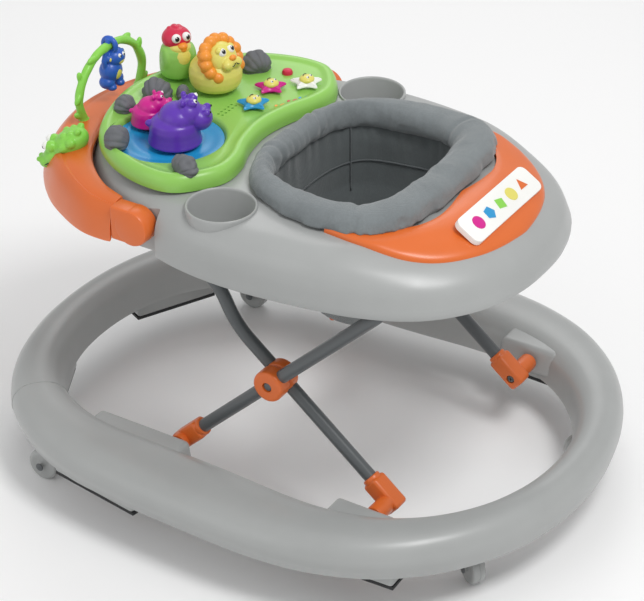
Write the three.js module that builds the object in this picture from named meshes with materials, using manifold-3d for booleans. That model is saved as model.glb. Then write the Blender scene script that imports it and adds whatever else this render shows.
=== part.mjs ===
// Baby walker: a wide oval base on four swivel casters, a folding X frame of two bent tubes, and a
// tray with a fabric seat, two cup wells, a toy panel and a hinged front handle.
// Millimetres, +Z up. The toys are at the front (-Y), the child's left is +X, and the origin is on
// the floor under the middle of the base.
import * as THREE from 'three';
import { mergeVertices } from 'three/addons/utils/BufferGeometryUtils.js';
import Module from 'manifold-3d';

const wasm = await Module();
wasm.setup();

// ---- driving dimensions -------------------------------------------------------------------------
const GAP = 0.3;                  // clearance between pieces that touch
const WALL = 3;                   // moulded shell wall

const RING_BOTTOM = 60;           // base ring, lower edge
const RING_TOP = 110;             // base ring, crest
const RING_HALF_OUTLINE = [       // outer edge seen from above, front to rear, child's left half
  [0, -374], [78, -367], [153, -344], [219, -301], [266, -240], [293, -169], [303, -98], [309, 0],
  [309, 100], [297, 171], [267, 240], [217, 298], [152, 341], [78, 366], [0, 374],
];
const RING_STEPS = 40;

const WHEEL_R = 20;
const WHEEL_WIDTH = 16;
const CASTER_TRAIL = 9;           // wheel axle behind the swivel axis
const CASTERS = [                 // name, swivel axis x and y, heading of the wheel in degrees
  ['front_left', 231, -253, 0],
  ['front_right', -231, -253, 0],
  ['rear_left', 142, 302, 145],
  ['rear_right', -142, 302, -145],
];

const STOP_BOTTOM = 38;           // underside of the friction strips
const STRIP_THICK = 4;
const STOPS = [                   // name, ends of the block's centre line, width, rib's gap to the roof
  ['front_left', [74, -331], [178, -280], 30, 11],
  ['front_right', [-178, -280], [-74, -331], 30, 11],
  ['side_left', [248, -201], [268, -74], 34, 4],
  ['side_right', [-248, -201], [-268, -74], 34, 4],
  ['rear_left', [232, 150], [228, 250], 33, 11],
  ['rear_right', [-232, 150], [-228, 250], 33, 11],
];

const TUBE_R = 8;
const SOCKET_BORE = 8.8;          // bore of the moulded pieces the tubes sit in
const FRAME_A_X = 151;            // inner tube frame, from the rear feet to the tray front
const FRAME_B_X = 169;            // outer tube frame, from the front feet to the tray rear
const FOOT_A = [193, 84];         // y, z of the fixed rear foot pivot
const FOOT_B = [-76, 84];         // y, z of the sliding front foot
const HUB = [46, 203];            // y, z of the crossing pivot
const BEND_A = [-14, 251.5];      // y, z of the knee in the inner frame
const KNEE_A = [-40, 303];
const TOP_A = [-88, 330];         // y, z of the inner frame's crossbar, sliding under the tray
const TOP_B = [189.5, 343];       // y, z of the outer frame's crossbar, the tray's pivot
const SLIDE_A = [                 // y, z of the inner crossbar's path through the tray's guides
  TOP_A, [-129, 335.7], [-162, 342.8], [-188, 352.6],
];
const SLIDE_B = [-163, 85];       // y, z of the front foot in the base when folded
const BOSS_X = 189;               // face of the foot bosses inside the ring

const TRAY_BOTTOM = 341;
const TRAY_HALF_OUTLINE = [       // widest edge of the tray, front to rear, child's left half
  [0, -281], [66, -265], [122, -233], [166, -182], [192, -118], [209, -58], [215, 5], [209, 85],
  [190, 176], [158, 236], [108, 277], [52, 296], [0, 300],
];
const TRAY_PROFILE = [            // inset from the widest edge, height, further inset at the rear
  [5, TRAY_BOTTOM, 0], [0, 352, 0], [0, 374, 10], [5, 389, 24], [14, 399, 38], [27, 406, 46],
  [46, 409, 42], [74, 410, 34],
];
const POCKET = { x: 187, front: -150, rear: -88 };   // cut-outs in the tray for the handle knuckles
const CUP = { x: 163, y: -23, inner: 38, depth: 58, rim: 411 };

const SEAT_HALF_OUTLINE = [       // outer edge of the padded rim
  [0, -50], [72, -43], [118, -16], [148, 38], [155, 100], [142, 154], [104, 185], [52, 195], [0, 196],
];
const SEAT_ROLL = [30, 50, 62];   // width of the padded rim at the front, the sides and the rear
const SEAT_FLOOR = 226;
const SEAT_CENTRE_Y = 66;         // point the bucket narrows towards
const LEG_TILT = 44;              // leg openings, degrees forward of straight down

const PANEL_HALF_OUTLINE = [      // edge of the toy panel
  [0, -263], [62, -252], [116, -225], [154, -180], [172, -128], [170, -88], [149, -64], [117, -47],
  [82, -49], [45, -62], [0, -69],
];
const PANEL_BOTTOM = 411.4;
const PANEL_TOP = 431;
const POND = { x: 80, y: -151, r: 65, floor: 419 };

const HINGE = [-114, 377];        // y, z of the handle pivots
const KNUCKLE_R = 22;
const ARCH_Y = -292;

// ---- materials ----------------------------------------------------------------------------------
const paint = (color, roughness = 0.4, metalness = 0) =>
  new THREE.MeshStandardMaterial({ color, roughness, metalness });
const GREY = paint(0xa9acab);
const ORANGE = paint(0xdd7b3a);
const STEEL = paint(0x565a5c, 0.35, 0.6);
const RUBBER = paint(0x2b2c2d, 0.9);
const FABRIC = paint(0x6f7577, 0.95);
const GREEN = paint(0x9fd46c);
const BLUE = paint(0x3b8fc0);
const PURPLE = paint(0x5b3c9a);
const MAGENTA = paint(0xbe1880);
const YELLOW = paint(0xd9cb66);
const WHITE = paint(0xf2f2ee);
const ROCK = paint(0x5f6264, 0.7);

// ---- shape helpers ------------------------------------------------------------------------------
const v3 = (x, y, z) => new THREE.Vector3(x, y, z);

// Joined and cut pieces go through these two.
function toSolid(geometry) {
  const bare = geometry.clone();
  bare.deleteAttribute('normal');
  bare.deleteAttribute('uv');
  const merged = mergeVertices(bare, 1e-4);
  return new wasm.Manifold(new wasm.Mesh({
    numProp: 3,
    vertProperties: new Float32Array(merged.attributes.position.array),
    triVerts: new Uint32Array(merged.index.array),
  }));
}

function toGeometry(solid) {
  const mesh = solid.getMesh();
  const geometry = new THREE.BufferGeometry();
  geometry.setAttribute('position', new THREE.BufferAttribute(new Float32Array(mesh.vertProperties), 3));
  geometry.setIndex(new THREE.BufferAttribute(new Uint32Array(mesh.triVerts), 1));
  geometry.computeVertexNormals();
  return geometry;
}

// A left half outline from front to rear, mirrored and smoothed into a closed plan curve.
function mirroredOutline(half, steps) {
  const left = half.map(([x, y]) => v3(x, y, 0));
  const right = half.slice(1, -1).reverse().map(([x, y]) => v3(-x, y, 0));
  const curve = new THREE.CatmullRomCurve3([...left, ...right], true, 'centripetal');
  return curve.getSpacedPoints(steps).slice(0, steps);
}

// Moves a closed plan outline inwards; points run anticlockwise seen from above.
function inset(outline, distance) {
  return outline.map((point, i) => {
    const before = outline[(i + outline.length - 1) % outline.length];
    const after = outline[(i + 1) % outline.length];
    const along = after.clone().sub(before).normalize();
    return v3(point.x - along.y * distance, point.y + along.x * distance, point.z);
  });
}

const atHeight = (outline, z) => outline.map((p) => v3(p.x, p.y, z));

// Skin over a stack of sections with equal point counts. Capped at both ends unless looped.
function loft(sections, looped = false) {
  const count = sections[0].length;
  const positions = sections.flat().flatMap((p) => [p.x, p.y, p.z]);
  const index = [];
  const last = looped ? sections.length : sections.length - 1;
  for (let s = 0; s < last; s += 1) {
    const next = (s + 1) % sections.length;
    for (let i = 0; i < count; i += 1) {
      const j = (i + 1) % count;
      const [a, b, c, d] = [s * count + i, s * count + j, next * count + j, next * count + i];
      index.push(a, b, c, a, c, d);
    }
  }
  if (!looped) {
    const top = (sections.length - 1) * count;
    const flat = (section) => section.map((p) => new THREE.Vector2(p.x, p.y));
    for (const [a, b, c] of THREE.ShapeUtils.triangulateShape(flat(sections[0]), [])) index.push(c, b, a);
    for (const [a, b, c] of THREE.ShapeUtils.triangulateShape(flat(sections.at(-1)), [])) {
      index.push(top + a, top + b, top + c);
    }
  }
  const geometry = new THREE.BufferGeometry();
  geometry.setAttribute('position', new THREE.Float32BufferAttribute(positions, 3));
  geometry.setIndex(index);
  geometry.computeVertexNormals();
  return geometry;
}

// Box between two x, two y and two z values; the x values may come in either order.
const box = (x0, x1, y0, y1, z0, z1) =>
  new THREE.BoxGeometry(Math.abs(x1 - x0), y1 - y0, z1 - z0)
    .translate((x0 + x1) / 2, (y0 + y1) / 2, (z0 + z1) / 2);

// Cylinder along X, Y or Z, from one end to the other.
function rod(axis, start, end, a, b, radius, sides = 12) {
  const geometry = new THREE.CylinderGeometry(radius, radius, Math.abs(end - start), sides);
  const middle = (start + end) / 2;
  if (axis === 'x') return geometry.rotateZ(Math.PI / 2).translate(middle, a, b);
  if (axis === 'y') return geometry.translate(a, middle, b);
  return geometry.rotateX(Math.PI / 2).translate(a, b, middle);
}

const blob = (x, y, z, rx, ry, rz, across = 9, down = 6) =>
  new THREE.SphereGeometry(1, across, down).scale(rx, ry, rz).translate(x, y, z);

function join(...geometries) {
  return toGeometry(geometries.map(toSolid).reduce((sum, next) => sum.add(next)));
}

function common(geometry, other) {
  return toGeometry(toSolid(geometry).intersect(toSolid(other)));
}

function cut(geometry, ...tools) {
  return toGeometry(tools.map(toSolid).reduce((left, tool) => left.subtract(tool), toSolid(geometry)));
}

// What is left of a trimmed piece once its loose slivers are dropped.
function largestPiece(geometry) {
  const pieces = toSolid(geometry).decompose();
  return toGeometry(pieces.reduce((best, next) => (next.volume() > best.volume() ? next : best)));
}

// Round bar swept along a smooth or straight-sided path.
function sweep(curve, radius, steps, sides = 10) {
  const section = new THREE.Shape();
  section.absarc(0, 0, radius, 0, Math.PI * 2);
  return new THREE.ExtrudeGeometry(section, {
    extrudePath: curve, steps, curveSegments: sides / 2, bevelEnabled: false,
  });
}

// Path with straight runs and rounded corners.
function roundedPath(points, radius) {
  const path = new THREE.CurvePath();
  let start = points[0];
  for (let i = 1; i < points.length - 1; i += 1) {
    const corner = points[i];
    const enter = corner.clone().add(points[i - 1].clone().sub(corner).setLength(radius));
    const leave = corner.clone().add(points[i + 1].clone().sub(corner).setLength(radius));
    path.add(new THREE.LineCurve3(start, enter));
    path.add(new THREE.QuadraticBezierCurve3(enter, corner, leave));
    start = leave;
  }
  path.add(new THREE.LineCurve3(start, points.at(-1)));
  return path;
}

const walker = new THREE.Group();

function place(name, geometry, material, parent = walker) {
  const mesh = new THREE.Mesh(geometry, material);
  mesh.name = name;
  parent.add(mesh);
  return mesh;
}

const sides = [['left', 1], ['right', -1]];

// ---- base ---------------------------------------------------------------------------------------
const ringOutline = mirroredOutline(RING_HALF_OUTLINE, RING_STEPS);

// Width of the ring: slim at both ends and broad beside the child.
function ringWidth(point) {
  const angle = Math.atan2(point.x, point.y);
  return 80 - Math.cos(angle) - 26 * Math.cos(2 * angle);
}

// One upright section of the open-bottomed ring, as fractions of its width and its height.
const RING_SECTION = [
  [0.09, 0], [0, 0.42], [0.07, 0.78], [0.24, 0.96], [0.44, 1], [0.68, 0.95], [0.88, 0.72], [1, 0],
];

function baseRing() {
  const height = RING_TOP - RING_BOTTOM;
  const inward = inset(ringOutline, 1);
  const sections = ringOutline.map((point, i) => {
    const direction = inward[i].clone().sub(point);
    const width = ringWidth(point);
    const at = (across, up, shift) => {
      const reach = across * (width - 2 * shift) + shift;
      const z = RING_BOTTOM + up * (height - shift);
      return v3(point.x + direction.x * reach, point.y + direction.y * reach, z);
    };
    const outside = RING_SECTION.map(([across, up]) => at(across, up, 0));
    const inside = RING_SECTION.filter((_, k) => k % 2 === 0 || k === 7)
      .map(([across, up]) => at(across, up, WALL + 0.5)).reverse();
    return [...outside, ...inside].reverse();
  });
  let ring = toSolid(loft(sections, true));
  for (const [, side] of sides) {
    ring = ring.add(toSolid(box(side * BOSS_X, side * (BOSS_X + 44), -182, -54, 66, 100)));
    ring = ring.add(toSolid(box(side * BOSS_X, side * (BOSS_X + 44), 150, 228, 66, 100)));
    ring = ring.subtract(toSolid(rod('x', side * (BOSS_X - 5), side * (BOSS_X + 16), ...FOOT_A, 5.2)));
    ring = ring.subtract(toSolid(slot(side * (BOSS_X - 5), side * (BOSS_X + 16), FOOT_B, SLIDE_B, 6.2)));
  }
  for (const [, x, y] of CASTERS) {
    ring = ring.add(toSolid(rod('z', 62, 101, x, y, 11)));
    ring = ring.subtract(toSolid(rod('z', 50, 92, x, y, 4.4)));
  }
  for (const [, from, to, width, ribGap] of STOPS) {
    const strip = STOP_BOTTOM + STRIP_THICK + GAP;
    ring = ring.add(toSolid(plank(from, to, width, strip, RING_BOTTOM + 4)));
    ring = ring.add(toSolid(plank(from, to, 14, RING_BOTTOM, RING_TOP - ribGap)));
  }
  return toGeometry(ring);
}

// Slot through a wall that faces X, from one y, z point to another.
function slot(x0, x1, from, to, radius) {
  const shape = new THREE.Shape();
  const angle = Math.atan2(to[1] - from[1], to[0] - from[0]);
  shape.absarc(from[0], from[1], radius, angle + Math.PI / 2, angle + Math.PI * 1.5);
  shape.absarc(to[0], to[1], radius, angle - Math.PI / 2, angle + Math.PI / 2);
  const depth = Math.abs(x1 - x0);
  const geometry = new THREE.ExtrudeGeometry(shape, { depth, bevelEnabled: false, curveSegments: 8 });
  geometry.rotateZ(Math.PI / 2).rotateY(Math.PI / 2);
  return geometry.translate(Math.min(x0, x1), 0, 0);
}

// Upright plank along a line on the plan.
function plank([x0, y0], [x1, y1], width, bottom, top) {
  const length = Math.hypot(x1 - x0, y1 - y0);
  return new THREE.BoxGeometry(length, width, top - bottom)
    .rotateZ(Math.atan2(y1 - y0, x1 - x0))
    .translate((x0 + x1) / 2, (y0 + y1) / 2, (bottom + top) / 2);
}

place('base_ring', baseRing(), GREY);
for (const [name, from, to, width] of STOPS) {
  place(`stop_strip_${name}`, plank(from, to, width - 4, STOP_BOTTOM, STOP_BOTTOM + STRIP_THICK), RUBBER);
}

// ---- casters ------------------------------------------------------------------------------------
function casterFork() {
  const half = WHEEL_WIDTH / 2;
  const cheek = half + 4;
  const hood = rod('x', -cheek, cheek, CASTER_TRAIL, WHEEL_R, 14, 12);
  const deck = box(-cheek, cheek, -11, 20, 40, 50);
  const cheeks = box(-cheek, cheek, CASTER_TRAIL - 11, CASTER_TRAIL + 11, 20, 46);
  const stem = rod('z', 49, 88, 0, 0, 4, 8);
  const well = rod('x', -half - 0.8, half + 0.8, CASTER_TRAIL, WHEEL_R, WHEEL_R + 1.8, 18);
  const bore = rod('x', -20, 20, CASTER_TRAIL, WHEEL_R, 3.4, 8);
  return join(cut(join(hood, deck, cheeks), well, bore), stem);
}

function casterWheel() {
  const half = WHEEL_WIDTH / 2;
  const profile = [
    [0, -half - 4], [3, -half - 4], [3, -half + 2], [10, -half], [17, -half], [WHEEL_R, -half + 2.5],
    [WHEEL_R, half - 2.5], [17, half], [10, half], [3, half - 2], [3, half + 4], [0, half + 4],
  ].map(([r, h]) => new THREE.Vector2(r, h));
  return new THREE.LatheGeometry(profile, 16).rotateZ(-Math.PI / 2).translate(0, CASTER_TRAIL, WHEEL_R);
}

for (const [name, x, y, heading] of CASTERS) {
  const caster = new THREE.Group();
  caster.position.set(x, y, 0);
  caster.rotation.z = THREE.MathUtils.degToRad(heading);
  walker.add(caster);
  place(`caster_fork_${name}`, casterFork(), GREY, caster);
  place(`caster_wheel_${name}`, casterWheel(), GREY, caster);
}

// ---- folding frame ------------------------------------------------------------------------------
const CROSSBAR_BEND = 42;

// A U-shaped tube through the y, z points of one leg, mirrored to the other leg.
function uTube(x, legPoints, steps) {
  const left = legPoints.map(([y, z]) => v3(x, y, z));
  const right = legPoints.map(([y, z]) => v3(-x, y, z)).reverse();
  return sweep(roundedPath([...left, ...right], CROSSBAR_BEND / 2), TUBE_R, steps, 8);
}

// Point at a distance from one y, z point towards another.
function towards([y0, z0], [y1, z1], distance) {
  const length = Math.hypot(y1 - y0, z1 - z0);
  return [y0 + ((y1 - y0) * distance) / length, z0 + ((z1 - z0) * distance) / length];
}

const FOOT_CUP = 22;              // how far a foot socket reaches up its tube
place('frame_inner_tube', uTube(FRAME_A_X, [towards(FOOT_A, HUB, 9), BEND_A, KNEE_A, TOP_A], 50), STEEL);
place('frame_outer_tube', uTube(FRAME_B_X, [towards(FOOT_B, HUB, 9), TOP_B], 36), STEEL);

// Socket moulded over a tube's lower end, with the pin that turns or slides in the base.
function footSocket(side, tubeX, foot, up) {
  const angle = Math.atan2(up[1] - foot[1], up[0] - foot[0]);
  const body = new THREE.BoxGeometry(23, FOOT_CUP + 22, 23)
    .translate(0, FOOT_CUP / 2 - 2, 0)
    .rotateX(angle)
    .translate(side * tubeX, foot[0], foot[1]);
  const bore = new THREE.CylinderGeometry(SOCKET_BORE, SOCKET_BORE, 60, 10)
    .translate(0, 30 + 8, 0)
    .rotateX(angle)
    .translate(side * tubeX, foot[0], foot[1]);
  const reach = rod('x', side * (tubeX + 8), side * (BOSS_X - 0.8), ...foot, 11);
  const pin = rod('x', side * (tubeX + 10), side * (BOSS_X + 13), ...foot, 4.8);
  return join(cut(join(body, reach), bore), pin);
}

for (const [name, side] of sides) {
  place(`foot_socket_rear_${name}`, footSocket(side, FRAME_A_X, FOOT_A, HUB), ORANGE);
  place(`foot_socket_front_${name}`, footSocket(side, FRAME_B_X, FOOT_B, HUB), ORANGE);
}

// Clamp half around one tube at the crossing; the outer one carries the rivet.
function hubClamp(side, tubeX, end, rivet) {
  const angle = Math.atan2(end[1] - HUB[1], end[0] - HUB[0]);
  const half = (FRAME_B_X - FRAME_A_X) / 2 - 0.4;
  const shell = rod('x', side * (tubeX - half), side * (tubeX + half), ...HUB, 19, 8);
  const bulge = new THREE.BoxGeometry(22, 34, 24).rotateX(angle).translate(side * tubeX, ...HUB);
  const inner = side * (tubeX - half);
  const outer = side * (tubeX + half + (rivet === 'outer' ? 4 : 0));
  const keep = box(inner, outer, -100, 200, 100, 300);
  const bore = new THREE.CylinderGeometry(SOCKET_BORE, SOCKET_BORE, 90, 10)
    .rotateX(angle)
    .translate(side * tubeX, ...HUB);
  const body = toSolid(join(shell, bulge)).intersect(toSolid(keep));
  return toGeometry(body.subtract(toSolid(bore)));
}

for (const [name, side] of sides) {
  place(`hub_inner_${name}`, hubClamp(side, FRAME_A_X, FOOT_A, 'none'), ORANGE);
  place(`hub_outer_${name}`, hubClamp(side, FRAME_B_X, FOOT_B, 'outer'), ORANGE);
}

// ---- tray ---------------------------------------------------------------------------------------
const trayOutline = mirroredOutline(TRAY_HALF_OUTLINE, 40);
const seatOutline = mirroredOutline(SEAT_HALF_OUTLINE, 28);
const seatInward = inset(seatOutline, 1).map((p, i) => p.sub(seatOutline[i]));

// Inset of one level of the tray at a point of its outline; the rear rolls over earlier.
function trayInset([edge, , rearExtra], point) {
  return edge + rearExtra * THREE.MathUtils.smoothstep(point.y, 110, 270);
}

// The tray's outer form, or the same form moved inwards by a wall; the hollow runs out below.
function traySolid(shift) {
  const profile = shift > 0 ? TRAY_PROFILE.filter((_, i) => i % 2 === 0 || i === 7) : TRAY_PROFILE;
  const unit = inset(trayOutline, 1);
  const sections = profile.map((level, i) => {
    const drop = i === 0 && shift > 0 ? 60 : shift * Math.sign(i);
    return trayOutline.map((p, k) => {
      const inwards = unit[k].clone().sub(p);
      return v3(p.x, p.y, level[1] - drop).addScaledVector(inwards, trayInset(level, p) + shift);
    });
  });
  return loft(sections);
}

function knucklePocket(side, grow) {
  return box(side * (POCKET.x - grow), side * 260, POCKET.front - grow, POCKET.rear + grow, 300, 450);
}

function cupWell(side) {
  const { inner, depth, rim } = CUP;
  const profile = [
    [0, rim - depth - 3], [inner - 5, rim - depth - 3], [inner + 2.4, rim - 6],
    [inner + 4.5, rim - 1.5], [inner + 4.5, rim], [inner, rim],
    [inner - 8, rim - depth + 4], [inner - 12, rim - depth], [0, rim - depth],
  ].map(([r, z]) => new THREE.Vector2(r, z));
  return new THREE.LatheGeometry(profile, 20).rotateX(Math.PI / 2).translate(side * CUP.x, CUP.y, 0);
}

function trayShell() {
  let outer = toSolid(traySolid(0));
  let hollow = toSolid(traySolid(WALL));
  for (const [, side] of sides) {
    outer = outer.subtract(toSolid(knucklePocket(side, 0)));
    hollow = hollow.subtract(toSolid(knucklePocket(side, WALL)));
  }
  let shell = outer.subtract(hollow);
  const seatHole = inset(seatOutline, 17);
  shell = shell.subtract(toSolid(loft([atHeight(seatHole, 300), atHeight(seatHole, 450)])));
  for (const [, side] of sides) {
    shell = shell.subtract(toSolid(rod('z', 300, 450, side * CUP.x, CUP.y, CUP.inner + 1, 20)));
    shell = shell.add(toSolid(cupWell(side)));
    shell = shell.subtract(toSolid(rod('x', side * (POCKET.x - 12), side * (POCKET.x + 3), ...HINGE, 5.3)));
  }
  return toGeometry(shell);
}

place('tray_shell', trayShell(), GREY);

// Height of the tray's surface at a distance in from a point of its widest edge.
function trayHeight(point, reach) {
  for (let i = 3; i < TRAY_PROFILE.length; i += 1) {
    const before = TRAY_PROFILE[i - 1];
    const after = TRAY_PROFILE[i];
    const end = trayInset(after, point);
    if (reach <= end) {
      return THREE.MathUtils.mapLinear(reach, trayInset(before, point), end, before[1], after[1]);
    }
  }
  return TRAY_PROFILE.at(-1)[1];
}

// Sheet-like loft: every section is an upper row of points and a lower row below it.
function loftRows(rows) {
  const sections = rows.map(([upper, lower]) => [...upper, ...lower.slice().reverse()]);
  const count = sections[0].length;
  const positions = sections.flat().flatMap((p) => [p.x, p.y, p.z]);
  const index = [];
  for (let s = 0; s < sections.length - 1; s += 1) {
    for (let i = 0; i < count; i += 1) {
      const j = (i + 1) % count;
      const [a, b, c, d] = [s * count + i, s * count + j, (s + 1) * count + j, (s + 1) * count + i];
      index.push(a, c, b, a, d, c);
    }
  }
  const end = (sections.length - 1) * count;
  for (let i = 0; i < count / 2 - 1; i += 1) {
    const [a, b, c, d] = [i, i + 1, count - 2 - i, count - 1 - i];
    index.push(a, b, c, a, c, d);
    index.push(end + a, end + c, end + b, end + a, end + d, end + c);
  }
  const geometry = new THREE.BufferGeometry();
  geometry.setAttribute('position', new THREE.Float32BufferAttribute(positions, 3));
  geometry.setIndex(index);
  geometry.computeVertexNormals();
  return geometry;
}

// Crescent cover behind the seat: a pad on the tray's crown, broad at the back and pointed in front.
const COVER_FRONT = 106;
const COVER_THICKNESS = [1.2, 3, 4.4, 5.2, 5.8, 6];
function rearCover(lift = 0) {
  const count = 22;
  const rear = trayOutline.filter((p) => p.y > COVER_FRONT);
  const path = new THREE.CatmullRomCurve3(rear, false, 'centripetal').getSpacedPoints(count);
  const rows = path.map((p, i) => {
    const ahead = path[Math.min(i + 1, count)].clone().sub(path[Math.max(i - 1, 0)]).normalize();
    const inwards = v3(-ahead.y, ahead.x, 0);
    const sideways = Math.abs((2 * i) / count - 1);
    const start = 27 + 16 * sideways + 12 * sideways ** 6;
    const span = 84 - 66 * sideways;
    const upper = [];
    const lower = [];
    COVER_THICKNESS.forEach((thick, k) => {
      const reach = start + span * (k / 5) ** 1.3;
      const q = p.clone().addScaledVector(inwards, reach);
      upper.push(v3(q.x, q.y, trayHeight(p, reach) + thick + lift));
      lower.push(v3(q.x, q.y, trayHeight(p, reach) - 2));
    });
    return [upper, lower];
  });
  const seat = inset(seatOutline, -GAP);
  return cut(loftRows(rows), traySolid(-GAP), loft([atHeight(seat, 380), atHeight(seat, 450)]));
}

place('rear_cover', rearCover(), ORANGE);

// Blank name plate lying on the sloping back of the cover.
function namePlate() {
  const shape = new THREE.Shape();
  const [halfWidth, halfHeight, corner] = [76, 18, 9];
  shape.moveTo(-halfWidth + corner, -halfHeight);
  shape.lineTo(halfWidth - corner, -halfHeight);
  shape.quadraticCurveTo(halfWidth, -halfHeight, halfWidth, -halfHeight + corner);
  shape.lineTo(halfWidth, halfHeight - corner);
  shape.quadraticCurveTo(halfWidth, halfHeight, halfWidth - corner, halfHeight);
  shape.lineTo(-halfWidth + corner, halfHeight);
  shape.quadraticCurveTo(-halfWidth, halfHeight, -halfWidth, halfHeight - corner);
  shape.lineTo(-halfWidth, -halfHeight + corner);
  shape.quadraticCurveTo(-halfWidth, -halfHeight, -halfWidth + corner, -halfHeight);
  const plate = new THREE.ExtrudeGeometry(shape, { depth: 12, bevelEnabled: false, curveSegments: 4 })
    .translate(0, 0, -12)
    .rotateX(THREE.MathUtils.degToRad(-32))
    .translate(0, 240, 414);
  return largestPiece(cut(plate, rearCover(GAP), traySolid(-GAP)));
}

place('name_plate', namePlate(), WHITE);

// ---- seat ---------------------------------------------------------------------------------------
const ROLL_LIP = 17.6;            // how far in the roll's underside steps down past the tray's edge
const LEG_HOLE = { x: 50, y: 78, z: 318, near: 38, far: 44, length: 170 };

// Width of the padded rim, which grows from front to side to rear.
function rollWidth(y) {
  const [front, side, rear] = SEAT_ROLL;
  return y < 60
    ? THREE.MathUtils.lerp(front, side, THREE.MathUtils.smoothstep(y, -45, 60))
    : THREE.MathUtils.lerp(side, rear, THREE.MathUtils.smoothstep(y, 60, 190));
}

// Padded rim: a closed roll that lies on the tray and hangs a little into its opening.
function seatRim() {
  const section = [                // across as a fraction of the roll's width, height
    [0, 416], [0.06, 424], [0.25, 432], [0.5, 435], [0.76, 431], [0.97, 421], [1, 408], [0.9, 398],
    [0.7, 396], [0.62, 404], [null, 411.2], [0.08, 411.2],
  ];
  const inward = inset(seatOutline, 1);
  const sections = seatOutline.map((point, i) => {
    const direction = inward[i].clone().sub(point);
    const width = rollWidth(point.y);
    return section.map(([across, z]) => {
      const reach = across === null ? ROLL_LIP : across * width;
      return v3(point.x + direction.x * reach, point.y + direction.y * reach, z);
    }).reverse();
  });
  return loft(sections, true);
}

place('seat_rim', seatRim(), FABRIC);

// Soft bucket with two leg openings, hung inside the rim.
function seatBucket() {
  const levels = [[0, 394], [0.03, 330], [0.16, 274], [0.42, 238], [0.76, SEAT_FLOOR]];
  const centre = v3(0, SEAT_CENTRE_Y, 0);
  const mouth = seatOutline.map((p, i) => p.clone().addScaledVector(seatInward[i], rollWidth(p.y) * 0.83));
  const level = (draw, z, less) => mouth.map((p) => {
    const arm = centre.clone().sub(p);
    return p.clone().addScaledVector(arm, draw + less / arm.length()).setZ(z);
  });
  const outside = loft(levels.map(([draw, z]) => level(draw, z, 0)).reverse());
  const inside = loft(levels.map(([draw, z], i) => level(draw, i === 0 ? z + 5 : z + 4, 4)).reverse());
  const legs = [1, -1].map((side) =>
    new THREE.CylinderGeometry(LEG_HOLE.near, LEG_HOLE.far, LEG_HOLE.length, 18)
      .translate(0, -LEG_HOLE.length / 2, 0)
      .rotateX(THREE.MathUtils.degToRad(LEG_TILT))
      .translate(side * LEG_HOLE.x, LEG_HOLE.y, LEG_HOLE.z));
  return cut(outside, inside, ...legs);
}

place('seat_bucket', seatBucket(), FABRIC);

// ---- tray fittings ------------------------------------------------------------------------------
// Bearing under the tray's rear that the outer frame's crossbar turns in.
function saddle(x) {
  const block = box(x - 9, x + 9, TOP_B[0] - 14, TOP_B[0] + 14, TOP_B[1] - 13, 405.5);
  return cut(common(block, traySolid(WALL + GAP)), rod('x', x - 20, x + 20, ...TOP_B, TUBE_R + 0.4));
}

// Plate under the tray's front with the slot that the inner frame's crossbar slides in.
function guide(x) {
  const plate = box(x - 4, x + 4, SLIDE_A.at(-1)[0] - 18, TOP_A[0] + 18, TOP_A[1] - 14, 405.5);
  const path = SLIDE_A.slice(1).map((to, i) => slot(x - 10, x + 10, SLIDE_A[i], to, TUBE_R + 1.6));
  return cut(common(plate, traySolid(WALL + GAP)), ...path);
}

for (const [name, side] of sides) {
  place(`tray_saddle_${name}`, saddle(side * 88), GREY);
  place(`tray_guide_${name}`, guide(side * 104), GREY);
}

// ---- toy panel ----------------------------------------------------------------------------------
const panelOutline = mirroredOutline(PANEL_HALF_OUTLINE, 34);
const SPEAKER = [-6, -128];

function panelSkin(shift) {
  const profile = [[0, PANEL_BOTTOM - 0.001], [0, 419], [2, 426], [7, 430], [13, PANEL_TOP]];
  const sections = profile.map(([edge, z], i) =>
    atHeight(inset(panelOutline, edge + shift), z - (i === 0 ? Math.sign(shift) * 4 : shift)));
  const pond = rod('z', POND.floor - shift, 460, POND.x, POND.y, POND.r + shift, 28);
  return cut(loft(sections), pond);
}

const TOYS = {
  hippoBig: [86, -138],
  hippoSmall: [65, -190],
  lion: [-44, -169],
  frog: [-47, -226],
};
const STARS = [
  ['blue', -29, -106, BLUE],
  ['magenta', -76, -112, MAGENTA],
  ['white', -108, -82, WHITE],
];

function panelTop() {
  const holes = [
    rod('z', 400, 460, ...TOYS.hippoBig, 11.2),
    rod('z', 400, 460, ...TOYS.hippoSmall, 11.2),
    rod('z', 400, 460, ...TOYS.lion, 9.2),
    rod('z', 400, 460, ...TOYS.frog, 9.2),
    ...STARS.map(([, x, y]) => rod('z', 400, 460, x, y, 7.2)),
  ];
  for (let column = -2; column <= 2; column += 1) {
    holes.push(rod('z', 420, 460, SPEAKER[0] + column * 7, SPEAKER[1], 1.8, 6));
  }
  return cut(panelSkin(0), panelSkin(WALL), ...holes);
}

place('panel_top', panelTop(), GREEN);
place('pond_disc', cut(
  rod('z', POND.floor + GAP, POND.floor + 2.3, POND.x, POND.y, POND.r - 0.8, 28),
  rod('z', 400, 460, ...TOYS.hippoBig, 11.2),
  rod('z', 400, 460, ...TOYS.hippoSmall, 11.2)), BLUE);

const LID = { x: -60, y: -150, halfX: 34, halfY: 26 };

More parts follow.
